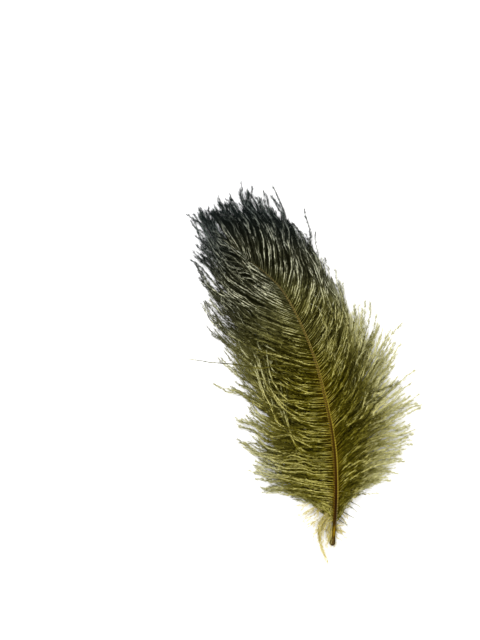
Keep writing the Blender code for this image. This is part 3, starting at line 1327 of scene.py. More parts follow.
@dataclass(frozen=True)
class Plumage:
    """A vane's grown barbs with their dye and their painted light, which all their blades take on.
    """

    growth: Growth
    barbs: Barbs
    dyeing: Dyeing
    lighting: Lighting
    # How densely blades grow at the tip and at the root of a barb.
    rim_density: float
    rim_part: Span = (0.55, 1.0)
    root_density: float = 0.25
    root_part: Span = (0.02, 0.14)
    # How tufts are scattered, and how the looks of their blades are kept apart.
    fewest_tufts: int = 3
    tuft_spread: float = 0.00012
    middle_light: float = 0.45
    nudge: float = 0.004

    def dice(self, step: int, first: float) -> np.random.Generator:
        """Random numbers for one kind of blade on one stretch of the vane."""
        return np.random.default_rng(int(self.growth.seed * step + first))

    def gleam(self, owner: Array, part: Array) -> Array:
        """How far places on the barbs are painted as standing in the light."""
        return self.lighting.gleam(self.growth, self.barbs, owner, part)

    def rim(self, points: Array, owner: Array, part: Array) -> Array:
        """How far places on the barbs are in the pale rim of painted glow, which short barbs don't
        reach.
        """
        return self.dyeing.rim(points, part * self.barbs.reach[owner])

    def looks(self, root: Array, part: Array, own: Array, end: Array) -> Array:
        """The looks of blades: nudged apart at the bend, so that no blade's look is flat.

        Args:
            root: Where each blade grows.
            part: How far out along its barb that is.
            own: The lightness of its root.
            end: The lightness of its tip.

        Returns:
            The looks of its root, its two bend corners and its tip.
        """
        middle = mix(own, end, self.middle_light)
        lights = np.stack([own, middle + self.nudge, end, middle - self.nudge], axis=1)
        dyes = self.dyeing.place(root, part)[:, None] + np.array([0, self.nudge, 0, -self.nudge])
        return np.clip(np.stack([dyes, lights], axis=-1), self.nudge, 1 - self.nudge)

    def scatter(
        self, chosen: Array, per_metre: float, each: int, dice: np.random.Generator
    ) -> Roots:
        """Scatters tufts of blades along the chosen barbs, thinly near their ends.

        Args:
            chosen: Which barbs carry the blades.
            per_metre: How many tufts a metre of barb carries.
            each: How many blades a tuft has.
            dice: Random numbers.

        Returns:
            Where the blades grow.
        """
        barbs, steps = self.barbs, self.growth.barb_steps
        tufts = (per_metre * barbs.length[chosen]).astype(int)
        owner = np.repeat(chosen, np.maximum(tufts, self.fewest_tufts))
        part = dice.random(len(owner)) * (1 - barbs.bare[owner])
        dense = mix(self.root_density, 1.0, ease(self.root_part, part))
        dense = dense * mix(1.0, self.rim_density, ease(self.rim_part, part))
        kept = dice.random(len(owner)) < dense
        owner, part = owner[kept], part[kept]
        tuft = np.repeat(np.arange(len(owner)), each)
        owner, part = owner[tuft], part[tuft]
        if each > 1:
            part = part + dice.normal(0, self.tuft_spread, len(part)) / barbs.length[owner]
        part = np.clip(part, 0, 1)
        place = part * steps
        low = np.minimum(place.astype(int), steps - 1)
        start, end = barbs.points[owner, low], barbs.points[owner, low + 1]
        tangent = unit(end - start)
        aside = unit(np.cross(tangent, UP))
        root = mix(start, end, (place - low)[:, None])
        return Roots(owner, part, tuft, root, tangent, aside, np.cross(aside, tangent))


@dataclass
class Blades:
    """Blades that are pointed at both ends and bent across the middle.

    They have a root, the directions of their first and second half, a length, a width at the
    bend, a way that their flat side faces, and the looks of their four corners.
    """

    root: Array
    first: Array
    second: Array
    length: Array
    width: Array
    facing: Array
    looks: Array
    bend: float = 0.42
    floor: float = 0.0002

    def add_to(self, weave: Weave) -> None:
        """Adds the blades to a piece, none of them below the table."""
        middle = self.root + self.first * (self.length * self.bend)[:, None]
        tip = middle + unit(self.second) * (self.length * (1 - self.bend))[:, None]
        wide = unit(np.cross(self.first, self.facing)) * (self.width / 2)[:, None]
        places = np.stack([self.root, middle + wide, tip, middle - wide], axis=1)
        places[..., 2] = np.maximum(places[..., 2], self.floor)
        start = np.arange(len(places))[:, None] * places.shape[1]
        halves = np.vstack([start + np.array([0, 1, 3]), start + np.array([1, 2, 3])])
        weave.add(places.reshape(-1, 3), self.looks.reshape(-1, 2), halves)


@dataclass(frozen=True)
class Tubes:
    """The barbs themselves, as three-sided tubes that thin towards their tips.

    Their bare roots stand beside the shaft like a comb, some with a painted highlight and some in
    painted shade.
    """

    # Their size. The radii at the tip and at the foot are shares of the first one.
    sides: int = 3
    radius: float = 0.00018
    tip_radius: float = 0.22
    taper_power: float = 0.8
    foot_radius: float = 0.4
    foot_part: float = 0.05
    # How light they are painted where the tip was dipped, and in the pale rim of painted glow.
    dipped_light: float = 1.35
    pale_step: int = 9
    pale_lights: Span = (0.50, 1.0)
    # The comb of bare roots, with painted highlights and painted shade.
    comb_step: int = 7
    comb_share: float = 0.55
    comb_lights: Span = (0.675, 0.99)
    comb_shades: Span = (0.05, 0.35)
    comb_part: Span = (0.048, 0.12)
    comb_upper_light: float = 0.55
    comb_upper_ends: Span = (0.3, 0.7)
    comb_low_light: float = 1.0
    comb_low_ends: Span = (0.20, 0.34)
    # How far the looks of a tube's sides are nudged apart, and kept from the ends of the scales.
    nudge: float = 0.004
    light_nudge: float = 0.0028
    margin: float = 0.005

    def _comb(self, growth: Growth) -> Array:
        """The painted light of each barb's root."""
        count = growth.barb_count
        share = np.arange(count) / count
        dice = np.random.default_rng(growth.seed + self.comb_step)
        lit = dice.random(count) < self.comb_share
        light = dice.uniform(*self.comb_lights, count)
        light = np.where(lit, light, dice.uniform(*self.comb_shades, count))
        light = light * mix(1.0, self.comb_upper_light, ease(self.comb_upper_ends, share))
        return light * mix(self.comb_low_light, 1.0, ease(self.comb_low_ends, share))

    def add(self, plumage: Plumage, chosen: Array, weave: Weave) -> None:
        """Adds the tubes.

        Args:
            plumage: The vane's barbs.
            chosen: Which barbs to add.
            weave: Where they go.
        """
        growth, dyeing = plumage.growth, plumage.dyeing
        points = plumage.barbs.points[chosen]
        count, rings = points.shape[:2]
        part = np.broadcast_to(np.linspace(0, 1, rings), (count, rings))
        tangent = unit(np.gradient(points, axis=1))
        aside = unit(np.cross(tangent, UP))[:, :, None]
        over = np.cross(aside, tangent[:, :, None])
        taper = mix(self.tip_radius, 1.0, (1 - part) ** self.taper_power)
        radius = self.radius * (taper + self.foot_radius * np.exp(-part / self.foot_part))
        corner = math.tau * (np.arange(self.sides) / self.sides + QUARTER_TURN)
        ring = aside * np.cos(corner)[:, None] + over * np.sin(corner)[:, None]
        places = points[:, :, None] + ring * radius[..., None, None]

        owner = np.broadcast_to(chosen[:, None], part.shape)
        # Painted light along each tube, raised to a painted glow in the pale rim.
        light = plumage.gleam(owner, part)
        light = light * mix(1.0, self.dipped_light, dyeing.dipped(points, part))
        pale_dice = np.random.default_rng(growth.seed + self.pale_step)
        pale = pale_dice.uniform(*self.pale_lights, (growth.barb_count, 1))[chosen]
        light = mix(light, np.maximum(light, pale), plumage.rim(points, owner, part))
        light = mix(self._comb(growth)[chosen][:, None], light, ease(self.comb_part, part))
        nudge = np.linspace(-1, 1, self.sides)
        dyes = dyeing.place(points, part)[..., None] + nudge * self.nudge
        lights = light[..., None] - nudge * self.light_nudge
        looks = np.clip(np.stack([dyes, lights], axis=-1), self.margin, 1 - self.margin)
        number = np.arange(count * rings * self.sides).reshape(count, rings, self.sides)
        beside = np.roll(number, -1, axis=2)
        walls = np.stack([number[:, :-1], beside[:, :-1], beside[:, 1:], number[:, 1:]], -1)
        weave.add(places.reshape(-1, 3), looks.reshape(-1, 2), walls.reshape(-1, 4))


@dataclass(frozen=True)
class Barbules:
    """One kind of blade that grows along the barbs, alone or in tufts, with its own dice."""

    seed_step: int
    per_metre: float
    each: int = 1

    def shape(self, plumage: Plumage, roots: Roots, dice: np.random.Generator) -> Blades:
        """Shapes the blades, in each kind's own way.

        Args:
            plumage: The vane's barbs.
            roots: Where the blades grow.
            dice: Random numbers.

        Returns:
            The blades with their looks.
        """
        raise NotImplementedError

    def add(self, plumage: Plumage, chosen: Array, weave: Weave) -> None:
        """Adds the blades of some barbs.

        Args:
            plumage: The vane's barbs.
            chosen: Which of them carry the blades.
            weave: Where the blades go.
        """
        dice = plumage.dice(self.seed_step, chosen[0])
        roots = plumage.scatter(chosen, self.per_metre, self.each, dice)
        self.shape(plumage, roots, dice).add_to(weave)


@dataclass(frozen=True)
class Crests(Barbules):
    """The barbules that lie close along each barb and are painted lit along with it.

    On fine barbs they are longer and thinner, and stray a little from the barb.
    """

    seed_step: int = 1000
    per_metre: float = 4600
    # Their sizes.
    length: float = 0.0018
    lengths: Span = (0.6, 1.3)
    fine_length: float = 1.5
    width: float = 0.00017
    widths: Span = (0.75, 1.25)
    fine_width: float = 0.8
    # How they stand out from the barb, in degrees, and how they bend and stray.
    opening: float = 11.0
    fine_opening: float = 0.6
    end_opening: float = 0.5
    rises: Span = (-4.0, 12.0)
    droop: float = 0.05
    tilt: float = 0.35
    stray: float = 0.00016
    stray_part: Span = (0.05, 0.25)
    # How they take on the barb's painted light.
    lights: Span = (0.40, 1.25)
    end_light: float = 0.85
    dipped_light: float = 1.35
    fine_least: float = 0.30
    rim_lights: Span = (0.60, 1.0)

    def shape(self, plumage: Plumage, roots: Roots, dice: np.random.Generator) -> Blades:
        """Shapes the blades close along the barbs."""
        count = len(roots.owner)
        fine = plumage.growth.fineness(roots.owner / plumage.growth.barb_count)
        opened = np.radians(dice.normal(0, self.opening, count) * mix(1.0, self.fine_opening, fine))
        rise = np.radians(dice.uniform(*self.rises, count))
        first = roots.tangent + roots.aside * np.sin(opened)[:, None]
        first = unit(first + roots.over * np.sin(rise)[:, None])
        later = roots.aside * np.sin(opened * self.end_opening)[:, None]
        length = self.length * dice.uniform(*self.lengths, count) * mix(1.0, self.fine_length, fine)
        off = dice.normal(0, self.stray, count) * fine * ease(self.stray_part, roots.part)
        root = roots.root + roots.aside * off[:, None]
        width = self.width * dice.uniform(*self.widths, count) * mix(1.0, self.fine_width, fine)
        facing = unit(UP + dice.normal(0, self.tilt, (count, 3)))
        own = plumage.gleam(roots.owner, roots.part) * dice.uniform(*self.lights, count)
        own = own * mix(1.0, self.dipped_light, plumage.dyeing.dipped(root, roots.part))
        own = np.maximum(own, fine * dice.uniform(0.0, self.fine_least, count))
        pale = np.maximum(own, dice.uniform(*self.rim_lights, count))
        own = mix(own, pale, plumage.rim(root, roots.owner, roots.part))
        looks = plumage.looks(root, roots.part, own, own * self.end_light)
        second = roots.tangent + later - UP * self.droop
        return Blades(root, first, second, length, width, facing, looks)


@dataclass(frozen=True)
class Tufts(Barbules):
    """The barbules that cling together in small tufts and stand out from the barb.

    Some tufts are painted as catching the light, more of them low on the vane, and a few get
    painted sparkles.
    """

    seed_step: int = 3000
    per_metre: float = 2500
    each: int = 5
    # Their sizes, shorter near the shaft.
    length: float = 0.0026
    lengths: Span = (0.6, 1.25)
    own_lengths: Span = (0.8, 1.1)
    root_length: float = 0.45
    root_part: Span = (0.0, 0.14)
    width: float = 0.00011
    widths: Span = (0.75, 1.25)
    # How a tuft rolls round the barb and opens from it, in degrees, and how it bends.
    first_row: float = 0.5
    rolls: Span = (6.0, 30.0)
    own_roll: float = 9.0
    openings: Span = (14.0, 46.0)
    own_opening: float = 5.0
    bends: Span = (-0.1, 0.7)
    own_bend: float = 0.12
    droop: float = 0.14
    tilt: float = 0.45
    # Which tufts are painted as catching the light, and how much of it.
    lit_share: float = 0.50
    low_lit: float = 1.35
    low_ends: Span = (0.14, 0.46)
    lit_lights: Span = (0.12, 0.45)
    unlit_crest: float = 0.7
    by_gleam: float = 0.55
    sparkle_share: float = 0.10
    sparkles: Span = (0.55, 0.95)
    shade_gleam: float = 0.20
    own_lights: Span = (0.75, 1.1)
    root_light: float = 0.35
    root_light_part: Span = (0.02, 0.16)
    dipped_light: float = 0.36
    rim_lights: Span = (0.62, 1.0)
    end_lights: Span = (0.55, 1.05)

    def _lights(self, plumage: Plumage, roots: Roots, dice: np.random.Generator) -> Array:
        """The painted light of the blades' roots, apart from the rim.

        Args:
            plumage: The vane's barbs.
            roots: Where the blades grow.
            dice: Random numbers.

        Returns:
            One lightness for each blade.
        """
        tuft, tufts = roots.tuft, roots.tuft.max() + 1
        gleam = plumage.gleam(roots.owner, roots.part)
        low = 1 - ease(self.low_ends, roots.owner / plumage.growth.barb_count)
        caught = dice.random(tufts)[tuft] < self.lit_share * mix(1.0, self.low_lit, low)
        sparkles = (dice.random(tufts) < self.sparkle_share)[tuft]
        lit = mix(*self.lit_lights, dice.random(tufts)[tuft])
        lit = lit * mix(self.unlit_crest, 1.0, gleam) + self.by_gleam * gleam
        lit = np.where(sparkles, dice.uniform(*self.sparkles, tufts)[tuft], lit)
        light = np.where(caught | sparkles, lit, self.shade_gleam * gleam)
        light = light * dice.uniform(*self.own_lights, len(tuft))
        light = light * mix(self.root_light, 1.0, ease(self.root_light_part, roots.part))
        dipped = plumage.dyeing.dipped(roots.root, roots.part)
        return light * mix(1.0, self.dipped_light, dipped)

    def shape(self, plumage: Plumage, roots: Roots, dice: np.random.Generator) -> Blades:
        """Shapes the blades so that those of a tuft go nearly the same way."""
        count, tuft = len(roots.owner), roots.tuft
        tufts = tuft.max() + 1
        row = np.where(dice.random(tufts) < self.first_row, -1.0, 1.0)[tuft]
        roll = dice.normal(*self.rolls, tufts)[tuft] + dice.normal(0, self.own_roll, count)
        roll = np.radians(roll)
        out = roots.aside * (np.cos(roll) * row)[:, None] + roots.over * np.sin(roll)[:, None]
        opened = dice.uniform(*self.openings, tufts)[tuft]
        opened = np.radians(opened + dice.normal(0, self.own_opening, count))
        bend = dice.uniform(*self.bends, tufts)[tuft] + dice.normal(0, self.own_bend, count)
        length = self.length * dice.uniform(*self.lengths, tufts)[tuft]
        length = length * dice.uniform(*self.own_lengths, count)
        length = length * mix(self.root_length, 1.0, ease(self.root_part, roots.part))
        width = self.width * dice.uniform(*self.widths, count)
        facing = unit(UP + dice.normal(0, self.tilt, (count, 3)))
        own = self._lights(plumage, roots, dice)
        rim = plumage.rim(roots.root, roots.owner, roots.part)
        own = mix(own, dice.uniform(*self.rim_lights, tufts)[tuft], rim)
        looks = plumage.looks(roots.root, roots.part, own, own * mix(*self.end_lights, rim))
        first = towards(roots.tangent, out, opened)
        second = towards(roots.tangent, out, opened * bend) - UP * self.droop
        return Blades(roots.root, first, second, length, width, facing, looks)


@dataclass(frozen=True)
class Fluff(Barbules):
    """Broad, tangled blades that close the depth under the barbules, painted dark as the shade
    there.
    """

    seed_step: int = 2000
    per_metre: float = 900
    # How far out they grow, and how they stand out from the barb, in degrees.
    farthest: Span = (0.45, 0.8)
    openings: Span = (4.0, 36.0)
    end_opening: float = 0.4
    # Their sizes, and how far they lie behind and under their roots.
    length: float = 0.0042
    lengths: Span = (0.6, 1.2)
    width: float = 0.00050
    widths: Span = (0.6, 1.2)
    outer_width: float = 0.4
    outer_part: Span = (0.35, 0.75)
    behind: float = 0.3
    depths: Span = (0.12, 0.5)
    tilt: float = 0.2
    # Painted shade: they are nearly black.
    lights: Span = (0.0, 0.10)
    end_light: float = 0.01

    def shape(self, plumage: Plumage, roots: Roots, dice: np.random.Generator) -> Blades:
        """Shapes the blades under the barbs, and leaves out those that are too far out."""
        roots = roots.keep(roots.part < dice.uniform(*self.farthest, len(roots.part)))
        count = len(roots.owner)
        opened = np.radians(dice.uniform(*self.openings, count)) * dice.choice([-1.0, 1.0], count)
        first = towards(roots.tangent, roots.aside, opened)
        second = towards(roots.tangent, roots.aside, opened * self.end_opening)
        length = self.length * dice.uniform(*self.lengths, count)
        width = self.width * dice.uniform(*self.widths, count)
        width = width * mix(1.0, self.outer_width, ease(self.outer_part, roots.part))
        root = roots.root - roots.tangent * (length * self.behind)[:, None]
        root[:, 2] = roots.root[:, 2] * dice.uniform(*self.depths, count)
        facing = unit(UP + dice.normal(0, self.tilt, (count, 3)))
        own = dice.uniform(*self.lights, count)
        looks = plumage.looks(roots.root, roots.part, own, own + self.end_light)
        return Blades(root, first, second, length, width, facing, looks)


@dataclass(frozen=True)
class Bed:
    """A bed of blades under the barbs, painted dark as the shade there, which thins to a pale haze
    at the rim, a painted glow.

    The blades lie evenly all over the vane, and the bed's rim follows the locks.
    """

    seed_step: int = 4000
    stretch_step: int = 100
    blades: int = 27000
    # Where the blades lie.
    rows: int = 160
    reach: float = 0.97
    reaches: Span = (0.80, 1.0)
    lock_point: float = 0.28
    crowding: float = 0.7
    root_share: float = 0.16
    root_part: float = 0.09
    # How they lie, in degrees, and their sizes.
    opening: float = 12.0
    rim_opening: float = 1.8
    end_opening: float = 0.3
    rim_part: Span = (0.45, 0.95)
    length: float = 0.0052
    lengths: Span = (0.6, 1.15)
    rim_length: float = 0.8
    behind: float = 0.45
    width: float = 0.0018
    rim_width: float = 0.00030
    widths: Span = (0.6, 1.15)
    thin_part: Span = (0.35, 0.85)
    depths: Span = (0.25, 0.62)
    tilt: float = 0.12
    # Their painted shade, and the pale haze at the rim, a painted glow.
    lights: Span = (0.01, 0.13)
    dipped_light: float = 0.20
    rim_lights: Span = (0.70, 1.0)
    rim_ahead: float = 0.12
    rim_end_light: float = 0.9

    def _places(
        self, plumage: Plumage, stretch: Span, dice: np.random.Generator
    ) -> tuple[Array, Array]:
        """Spreads the blades over a stretch of the vane.

        Args:
            plumage: The vane's barbs.
            stretch: Where the stretch starts and ends, as shares of the vane.
            dice: Random numbers.

        Returns:
            The share of the vane and the part of a barb at which each blade lies.
        """
        growth, locks = plumage.growth, plumage.barbs.locks
        count = int(self.blades * (stretch[1] - stretch[0]))
        share, part, pick = np.outer(np.arange(count), EVEN_STEPS).T % 1
        share = mix(*stretch, share)
        longest = along(growth.keys, np.linspace(0, 1, self.rows)).max()
        kept = pick * longest < along(growth.keys, share)
        share, part = share[kept], part[kept] ** self.crowding
        at_root = dice.random(len(share)) < self.root_share
        part = np.where(at_root, part * self.root_part, part)
        lock = nearest(share, locks.share)
        off_middle = apart(share, locks.share, lock)
        reach = locks.size[lock] * pointed(self.lock_point, off_middle)
        kept = part < reach * dice.uniform(*self.reaches, len(share))
        return share[kept], part[kept]

    def _lay(self, growth: Growth, share: Array, part: Array) -> tuple[Array, Array]:
        """Places and directions in plan on barbs that have no turns of their own.

        Args:
            growth: How the barbs grew.
            share: Where each barb leaves the shaft, as a share of the vane.
            part: How far out along it.

        Returns:
            The places, and the directions in which the barbs run there.
        """
        none = np.zeros(self.rows)
        rows = Bunch(np.linspace(0, 1, self.rows), none + self.reach, none, none, none)
        curves = growth.curves(rows)
        place, out = share * (self.rows - 1), part * (growth.barb_steps - 1)
        row = np.minimum(place.astype(int), self.rows - 2)
        step = out.astype(int)
        across, ahead = (place - row)[:, None], (out - step)[:, None]
        start = mix(curves[row, step], curves[row + 1, step], across)
        end = mix(curves[row, step + 1], curves[row + 1, step + 1], across)
        return mix(start, end, ahead), unit(end - start)

    def add(self, plumage: Plumage, stretch: Span, weave: Weave) -> None:
        """Adds the bed under a stretch of the vane.

        Args:
            plumage: The vane's barbs.
            stretch: Where the stretch starts and ends, as shares of the vane.
            weave: Where the blades go.
        """
        growth = plumage.growth
        dice = plumage.dice(self.seed_step, stretch[0] * self.stretch_step)
        share, part = self._places(plumage, stretch, dice)
        count = len(share)
        plan, way = self._lay(growth, share, part)
        tangent = np.column_stack([way, np.zeros(count)])
        aside = np.cross(tangent, UP)
        rim = ease(self.rim_part, part)
        opened = dice.normal(0, self.opening, count) * mix(1.0, self.rim_opening, rim)
        opened = np.radians(opened)
        first = towards(tangent, aside, opened)
        second = towards(tangent, aside, opened * self.end_opening)
        length = self.length * dice.uniform(*self.lengths, count) * mix(1.0, self.rim_length, rim)
        width = mix(self.width, self.rim_width, ease(self.thin_part, part))
        width = width * dice.uniform(*self.widths, count)
        height = growth.rest_height(share, part, growth.bed_swell)
        height = height * dice.uniform(*self.depths, count)
        root = np.column_stack([plan, height]) - tangent * (length * self.behind)[:, None]
        own = dice.uniform(*self.lights, count)
        own = own * mix(1.0, self.dipped_light, plumage.dyeing.dipped(root, part))
        pale = plumage.dyeing.rim(root, np.clip(part + self.rim_ahead, 0, 1))
        own = mix(own, dice.uniform(*self.rim_lights, count), pale)
        looks = plumage.looks(root, part, own, own * mix(1.0, self.rim_end_light, rim))
        facing = unit(UP + dice.normal(0, self.tilt, (count, 3)))
        Blades(root, first, second, length, width, facing, looks).add_to(weave)


@dataclass(frozen=True)
class Vane:
    """Barbs on one side of the shaft with all that grows on them, in pieces called stretches."""

    name: str
    growth: Growth
    dyeing: Dyeing = Dyeing()
    lighting: Lighting = Lighting()
    tubes: Tubes = Tubes()
    crests: Crests = Crests()
    tufts: Tufts = Tufts()
    fluff: Fluff | None = None
    bed: Bed | None = None
    rim_density: float = 0.60
    stretches: int = 1

    def _weave(self, plumage: Plumage, chosen: Array, stretch: Span) -> Weave:
        """Gathers the barbs of one stretch and the blades on them.

        Args:
            plumage: The vane's barbs.
            chosen: Which of them are in the stretch.
            stretch: Where the stretch starts and ends, as shares of the vane.

        Returns:
            All the stretch's vertices and faces.
        """
        weave = Weave()
        self.tubes.add(plumage, chosen, weave)
        if self.bed:
            self.bed.add(plumage, stretch, weave)
        if self.fluff:
            self.fluff.add(plumage, chosen, weave)
        self.tufts.add(plumage, chosen, weave)
        self.crests.add(plumage, chosen, weave)
        return weave

    def build(self, finish: bpy.types.Material) -> list[bpy.types.Object]:
        """Makes the vane in stretches from the quill to the tip.

        Args:
            finish: The barbs' material.

        Returns:
            One piece for each stretch.
        """
        growth, count = self.growth, self.stretches
        plumage = Plumage(growth, growth.grow(), self.dyeing, self.lighting, self.rim_density)
        pieces = []
        for number, chosen in enumerate(np.array_split(np.arange(growth.barb_count), count)):
            weave = self._weave(plumage, chosen, (number / count, (number + 1) / count))
            name = f"{self.name}_{number + 1}" if count > 1 else self.name
            piece = weave.make(name, finish)
            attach(piece, BODY)
            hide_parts(f"{growth.side.name.lower()}_vane")
            pieces.append(piece)
        return pieces


@dataclass(frozen=True)
class Feather:
    """The vanes of the feather, and the barbs and the down that grow in ways of their own."""

    line: ShaftLine
    # Starts of a rim that lies beyond every tip, and the rise of roots that grow under the shaft.
    no_rim: Span = (1.2, 1.2)
    under_shaft: Span = (-0.9, -0.4)

    def left_barbs(self) -> Vane:
        """The left vane, whose lower locks part and whose barbs hook downwards."""
        growth = Growth(
            self.line, Side.LEFT, LEFT_BARBS, 28, turn_power=0.85, full_length=0.070,
            low_pull=0.8, hook_share=0.22, hook_turn=-30.0, sways=(0.0014, 0.0004, 0.00022),
        )
        return Vane(
            "left_barbs", growth,
            dyeing=Dyeing(rim_starts=(0.50, 0.62), rim_most=0.55, ash_ends=(0.018, 0.066)),
            lighting=Lighting(
                inner_light=1.0, low_light=5.0, lock_shade=0.15, upper_gleam=0.20
            ),
            tubes=Tubes(comb_share=0.62),
            fluff=Fluff(), bed=Bed(), rim_density=0.75, stretches=3,
        )

    def right_barbs(self) -> Vane:
        """The right vane: its barbs turn up in arcs painted bright, and end in a wide rim of
        painted glow.
        """
        growth = Growth(
            self.line, Side.RIGHT, RIGHT_BARBS, 23, turn_power=1.9, strand_count=88,
            strand_pull=0.70, fine_ends=(0.55, 0.80), sways=(0.0011, 0.0004, 0.00016),
        )
        return Vane(
            "right_barbs", growth,
            dyeing=Dyeing(
                khaki_low=0.85, rim_starts=(0.39, 0.54), dip_reach=0.018, ash_ends=(0.036, 0.072)
            ),
            lighting=Lighting(inner_light=0.92, arc_light=1.7, upper_gleam=0.08),
            tubes=Tubes(comb_share=0.65, comb_low_light=0.60),
            fluff=Fluff(), bed=Bed(rim_width=0.00038, lock_point=0.15),
            rim_density=0.75, stretches=3,
        )

    def crossing_barbs(self) -> Vane:
        """The barbs that lie across the left vane on top of the others."""
        growth = Growth(
            self.line, Side.LEFT, CROSSING_BARBS, 53, start=0.24, end=0.42, barb_count=13,
            strand_count=5, lock_count=4, turn_power=1.5, strand_pull=0.85, hook_share=0.0,
            stray_share=0.15, least_lift=0.75, swell=0.0052, edge_height=0.0048,
            full_length=0.070, own_turns=(2.0, 5.0), lock_turns=(2.0, 5.0),
        )
        return Vane(
            "crossing_barbs", growth, dyeing=Dyeing(rim_starts=self.no_rim),
            lighting=Lighting(low_light=0.75), tufts=Tufts(length=0.0019),
        )

    def loose_barb(self) -> Vane:
        """The one long barb that stands straight out past the left vane."""
        growth = Growth(
            self.line, Side.LEFT, LOOSE_BARBS, 59, start=0.530, end=0.545, barb_count=1,
            strand_count=1, lock_count=1, turn_power=1.0, hook_share=0.0, least_lift=0.9,
            swell=0.0052, edge_height=0.0040, full_length=0.070, curl=0.0,
            sways=(0.0012, 0.00028, 0.00016),
        )
        return Vane(
            "loose_barb", growth, dyeing=Dyeing(rim_starts=self.no_rim),
            lighting=Lighting(low_light=0.5), tubes=Tubes(radius=0.00055),
            crests=Crests(per_metre=5000),
            tufts=Tufts(per_metre=420, length=0.0012, width=0.00008),
        )

    def base_down(self) -> Vane:
        """The pale down at the foot of the left vane."""
        growth = Growth(
            self.line, Side.LEFT, DOWN_BARBS, 31, start=0.050, end=0.158, barb_count=56,
            strand_count=46, lock_count=18, swell=0.001, own_turns=(16.0, 18.0),
            strand_turns=(6.0, 10.0), stray_share=0.3, root_rise=self.under_shaft,
            sways=(0.0010, 0.0006, 0.00016), curl=8.0,
        )
        return Vane(
            "base_down", growth, UndyedDown(), PlainLighting(), Tubes(radius=0.00010),
            Crests(per_metre=1500), Tufts(per_metre=1300, width=0.00006),
        )

    def long_down(self) -> Vane:
        """The one plume of down that hangs past the quill's end."""
        growth = Growth(
            self.line, Side.LEFT, LONG_DOWN_BARBS, 41, start=0.085, end=0.110, barb_count=3,
            strand_count=2, lock_count=1, turn_power=2.5, swell=0.001, curl=5.0,
            root_rise=self.under_shaft, sways=(0.0004, 0.00028, 0.00016),
        )
        return Vane(
            "long_down", growth, UndyedDown(), PlainLighting(), Tubes(radius=0.00026),
            Crests(per_metre=2400), Tufts(per_metre=2000, width=0.00007),
        )

    def foot_spikes(self) -> Vane:
        """The short, stiff barbs at the foot of the right vane."""
        growth = Growth(
            self.line, Side.RIGHT, SPIKE_BARBS, 37, start=0.070, end=0.160, barb_count=5,
            strand_count=5, lock_count=5, swell=0.001, own_turns=(6.0, 5.0), curl=3.0,
            root_rise=(-1.3, -0.8), sways=(0.0001, 0.0001, 0.0),
        )
        return Vane(
            "foot_spikes", growth, SpikeDyeing(), PlainLighting(lowest=0.20, by_lift=0.20),
            Tubes(radius=0.00040), Crests(per_metre=900),
            Tufts(per_metre=500, length=0.0012, width=0.00006),
        )

    def foot_down(self) -> Vane:
        """The pale down at the foot of the right vane."""
        growth = Growth(
            self.line, Side.RIGHT, FOOT_BARBS, 43, start=0.055, end=0.180, barb_count=22,
            strand_count=16, lock_count=7, swell=0.001, own_turns=(12.0, 24.0),
            strand_turns=(5.0, 12.0), stray_share=0.3, root_rise=self.under_shaft,
            sways=(0.0006, 0.0004, 0.00016),
        )
        return Vane(
            "foot_down", growth, UndyedDown(), PlainLighting(), Tubes(radius=0.00009),
            Crests(per_metre=1500), Tufts(per_metre=1300, length=0.0020, width=0.00007),
        )

    def vanes(self) -> list[Vane]:
        """All of them, in the order in which they are made."""
        return [
            self.left_barbs(),
            self.right_barbs(),
            self.crossing_barbs(),
            self.loose_barb(),
            self.base_down(),
            self.long_down(),
            self.foot_spikes(),
            self.foot_down(),
        ]


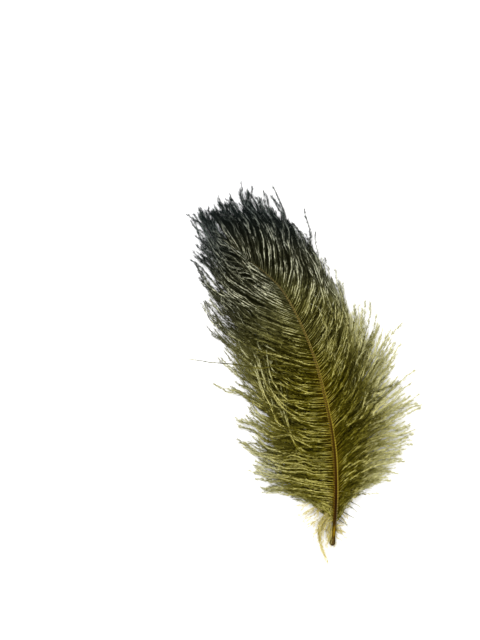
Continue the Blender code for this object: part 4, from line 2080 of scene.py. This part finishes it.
@dataclass
class Studio:
    """The table, the soft lights and the camera that looks straight down."""

    line: ShaftLine
    table_size: float = 4.0
    lens: float = 50.0
    sensor: float = 36.0
    feather_height: float = 0.005
    key_energy: float = 13.0
    key_size: float = 0.35
    key_place: tuple[float, float, float] = (-0.55, 0.70, 1.0)
    fill_energy: float = 4.0
    fill_size: float = 1.4
    fill_place: tuple[float, float, float] = (0.7, -0.5, 1.2)
    sky: Colour = (1.0, 0.99, 0.97)
    sky_strength: float = 1.08

    def table(self) -> bpy.types.Object:
        """Lays the table under the feather.

        Returns:
            The table.
        """
        half = self.table_size / 2
        mesh = bpy.data.meshes.new("white_table")
        corners = [(-half, -half, 0), (half, -half, 0), (half, half, 0), (-half, half, 0)]
        mesh.from_pydata(corners, [], [(0, 1, 2, 3)])
        mesh.materials.append(TableWithPaintedFalloff().material())
        table = bpy.data.objects.new("white_table", mesh)
        bpy.context.scene.collection.objects.link(table)
        return table

    def _light(self, name: str, place: Sequence[float], size: float, energy: float) -> None:
        """Hangs a square soft light that faces the feather."""
        lamp = bpy.data.lights.new(name, "AREA")
        lamp.size, lamp.energy = size, energy
        holder = bpy.data.objects.new(name, lamp)
        holder.location = place
        holder.rotation_euler = (-Vector(place)).to_track_quat("-Z", "Y").to_euler()
        bpy.context.scene.collection.objects.link(holder)

    def lights(self) -> None:
        """Hangs the key and the fill, and lights the room evenly."""
        self._light("key_light", self.key_place, self.key_size, self.key_energy)
        self._light("fill_light", self.fill_place, self.fill_size, self.fill_energy)
        world = bpy.data.worlds.new("pale_room")
        world.use_nodes = True
        room = world.node_tree.nodes["Background"]
        room.inputs["Color"].default_value = (*self.sky, 1.0)
        room.inputs["Strength"].default_value = self.sky_strength
        bpy.context.scene.world = world

    def camera(self) -> bpy.types.Object:
        """Sets the camera over the middle of the photograph's frame.

        Returns:
            The camera.
        """
        quill_end = self.line.middle(np.array(0.0))
        right = (PHOTO_WIDTH / 2 - QUILL_END_PIXEL[0]) * METRES_PER_PIXEL
        up = (QUILL_END_PIXEL[1] - PHOTO_HEIGHT / 2) * METRES_PER_PIXEL
        distance = PHOTO_HEIGHT * METRES_PER_PIXEL / self.sensor * self.lens
        data = bpy.data.cameras.new("camera_over_the_table")
        data.lens, data.sensor_width = self.lens, self.sensor
        camera = bpy.data.objects.new("camera_over_the_table", data)
        camera.location = (quill_end[0] + right, quill_end[1] + up, distance + self.feather_height)
        bpy.context.scene.collection.objects.link(camera)
        bpy.context.scene.camera = camera
        return camera

    def build(self) -> None:
        """Sets up everything round the feather."""
        self.table()
        self.lights()
        self.camera()
        bpy.context.scene.view_settings.view_transform = "Standard"


def report(pieces: Sequence[bpy.types.Object]) -> None:
    """Logs the name and the number of faces of each piece."""
    for piece in pieces:
        LOG.info("%s: %d faces", piece.name, len(piece.data.polygons))


def main() -> None:
    """Builds the feather and its setting."""
    logging.basicConfig(level=logging.INFO, format="%(name)s: %(message)s")
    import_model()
    line = ShaftLine()
    Studio(line).build()
    report([Shaft(line).build(HornColourAndPaintedHighlight().material())])
    dyed = BarbDyeAndPaintedLight().material()
    for vane in Feather(line).vanes():
        report(vane.build(dyed))


if __name__ == "__main__":
    main()
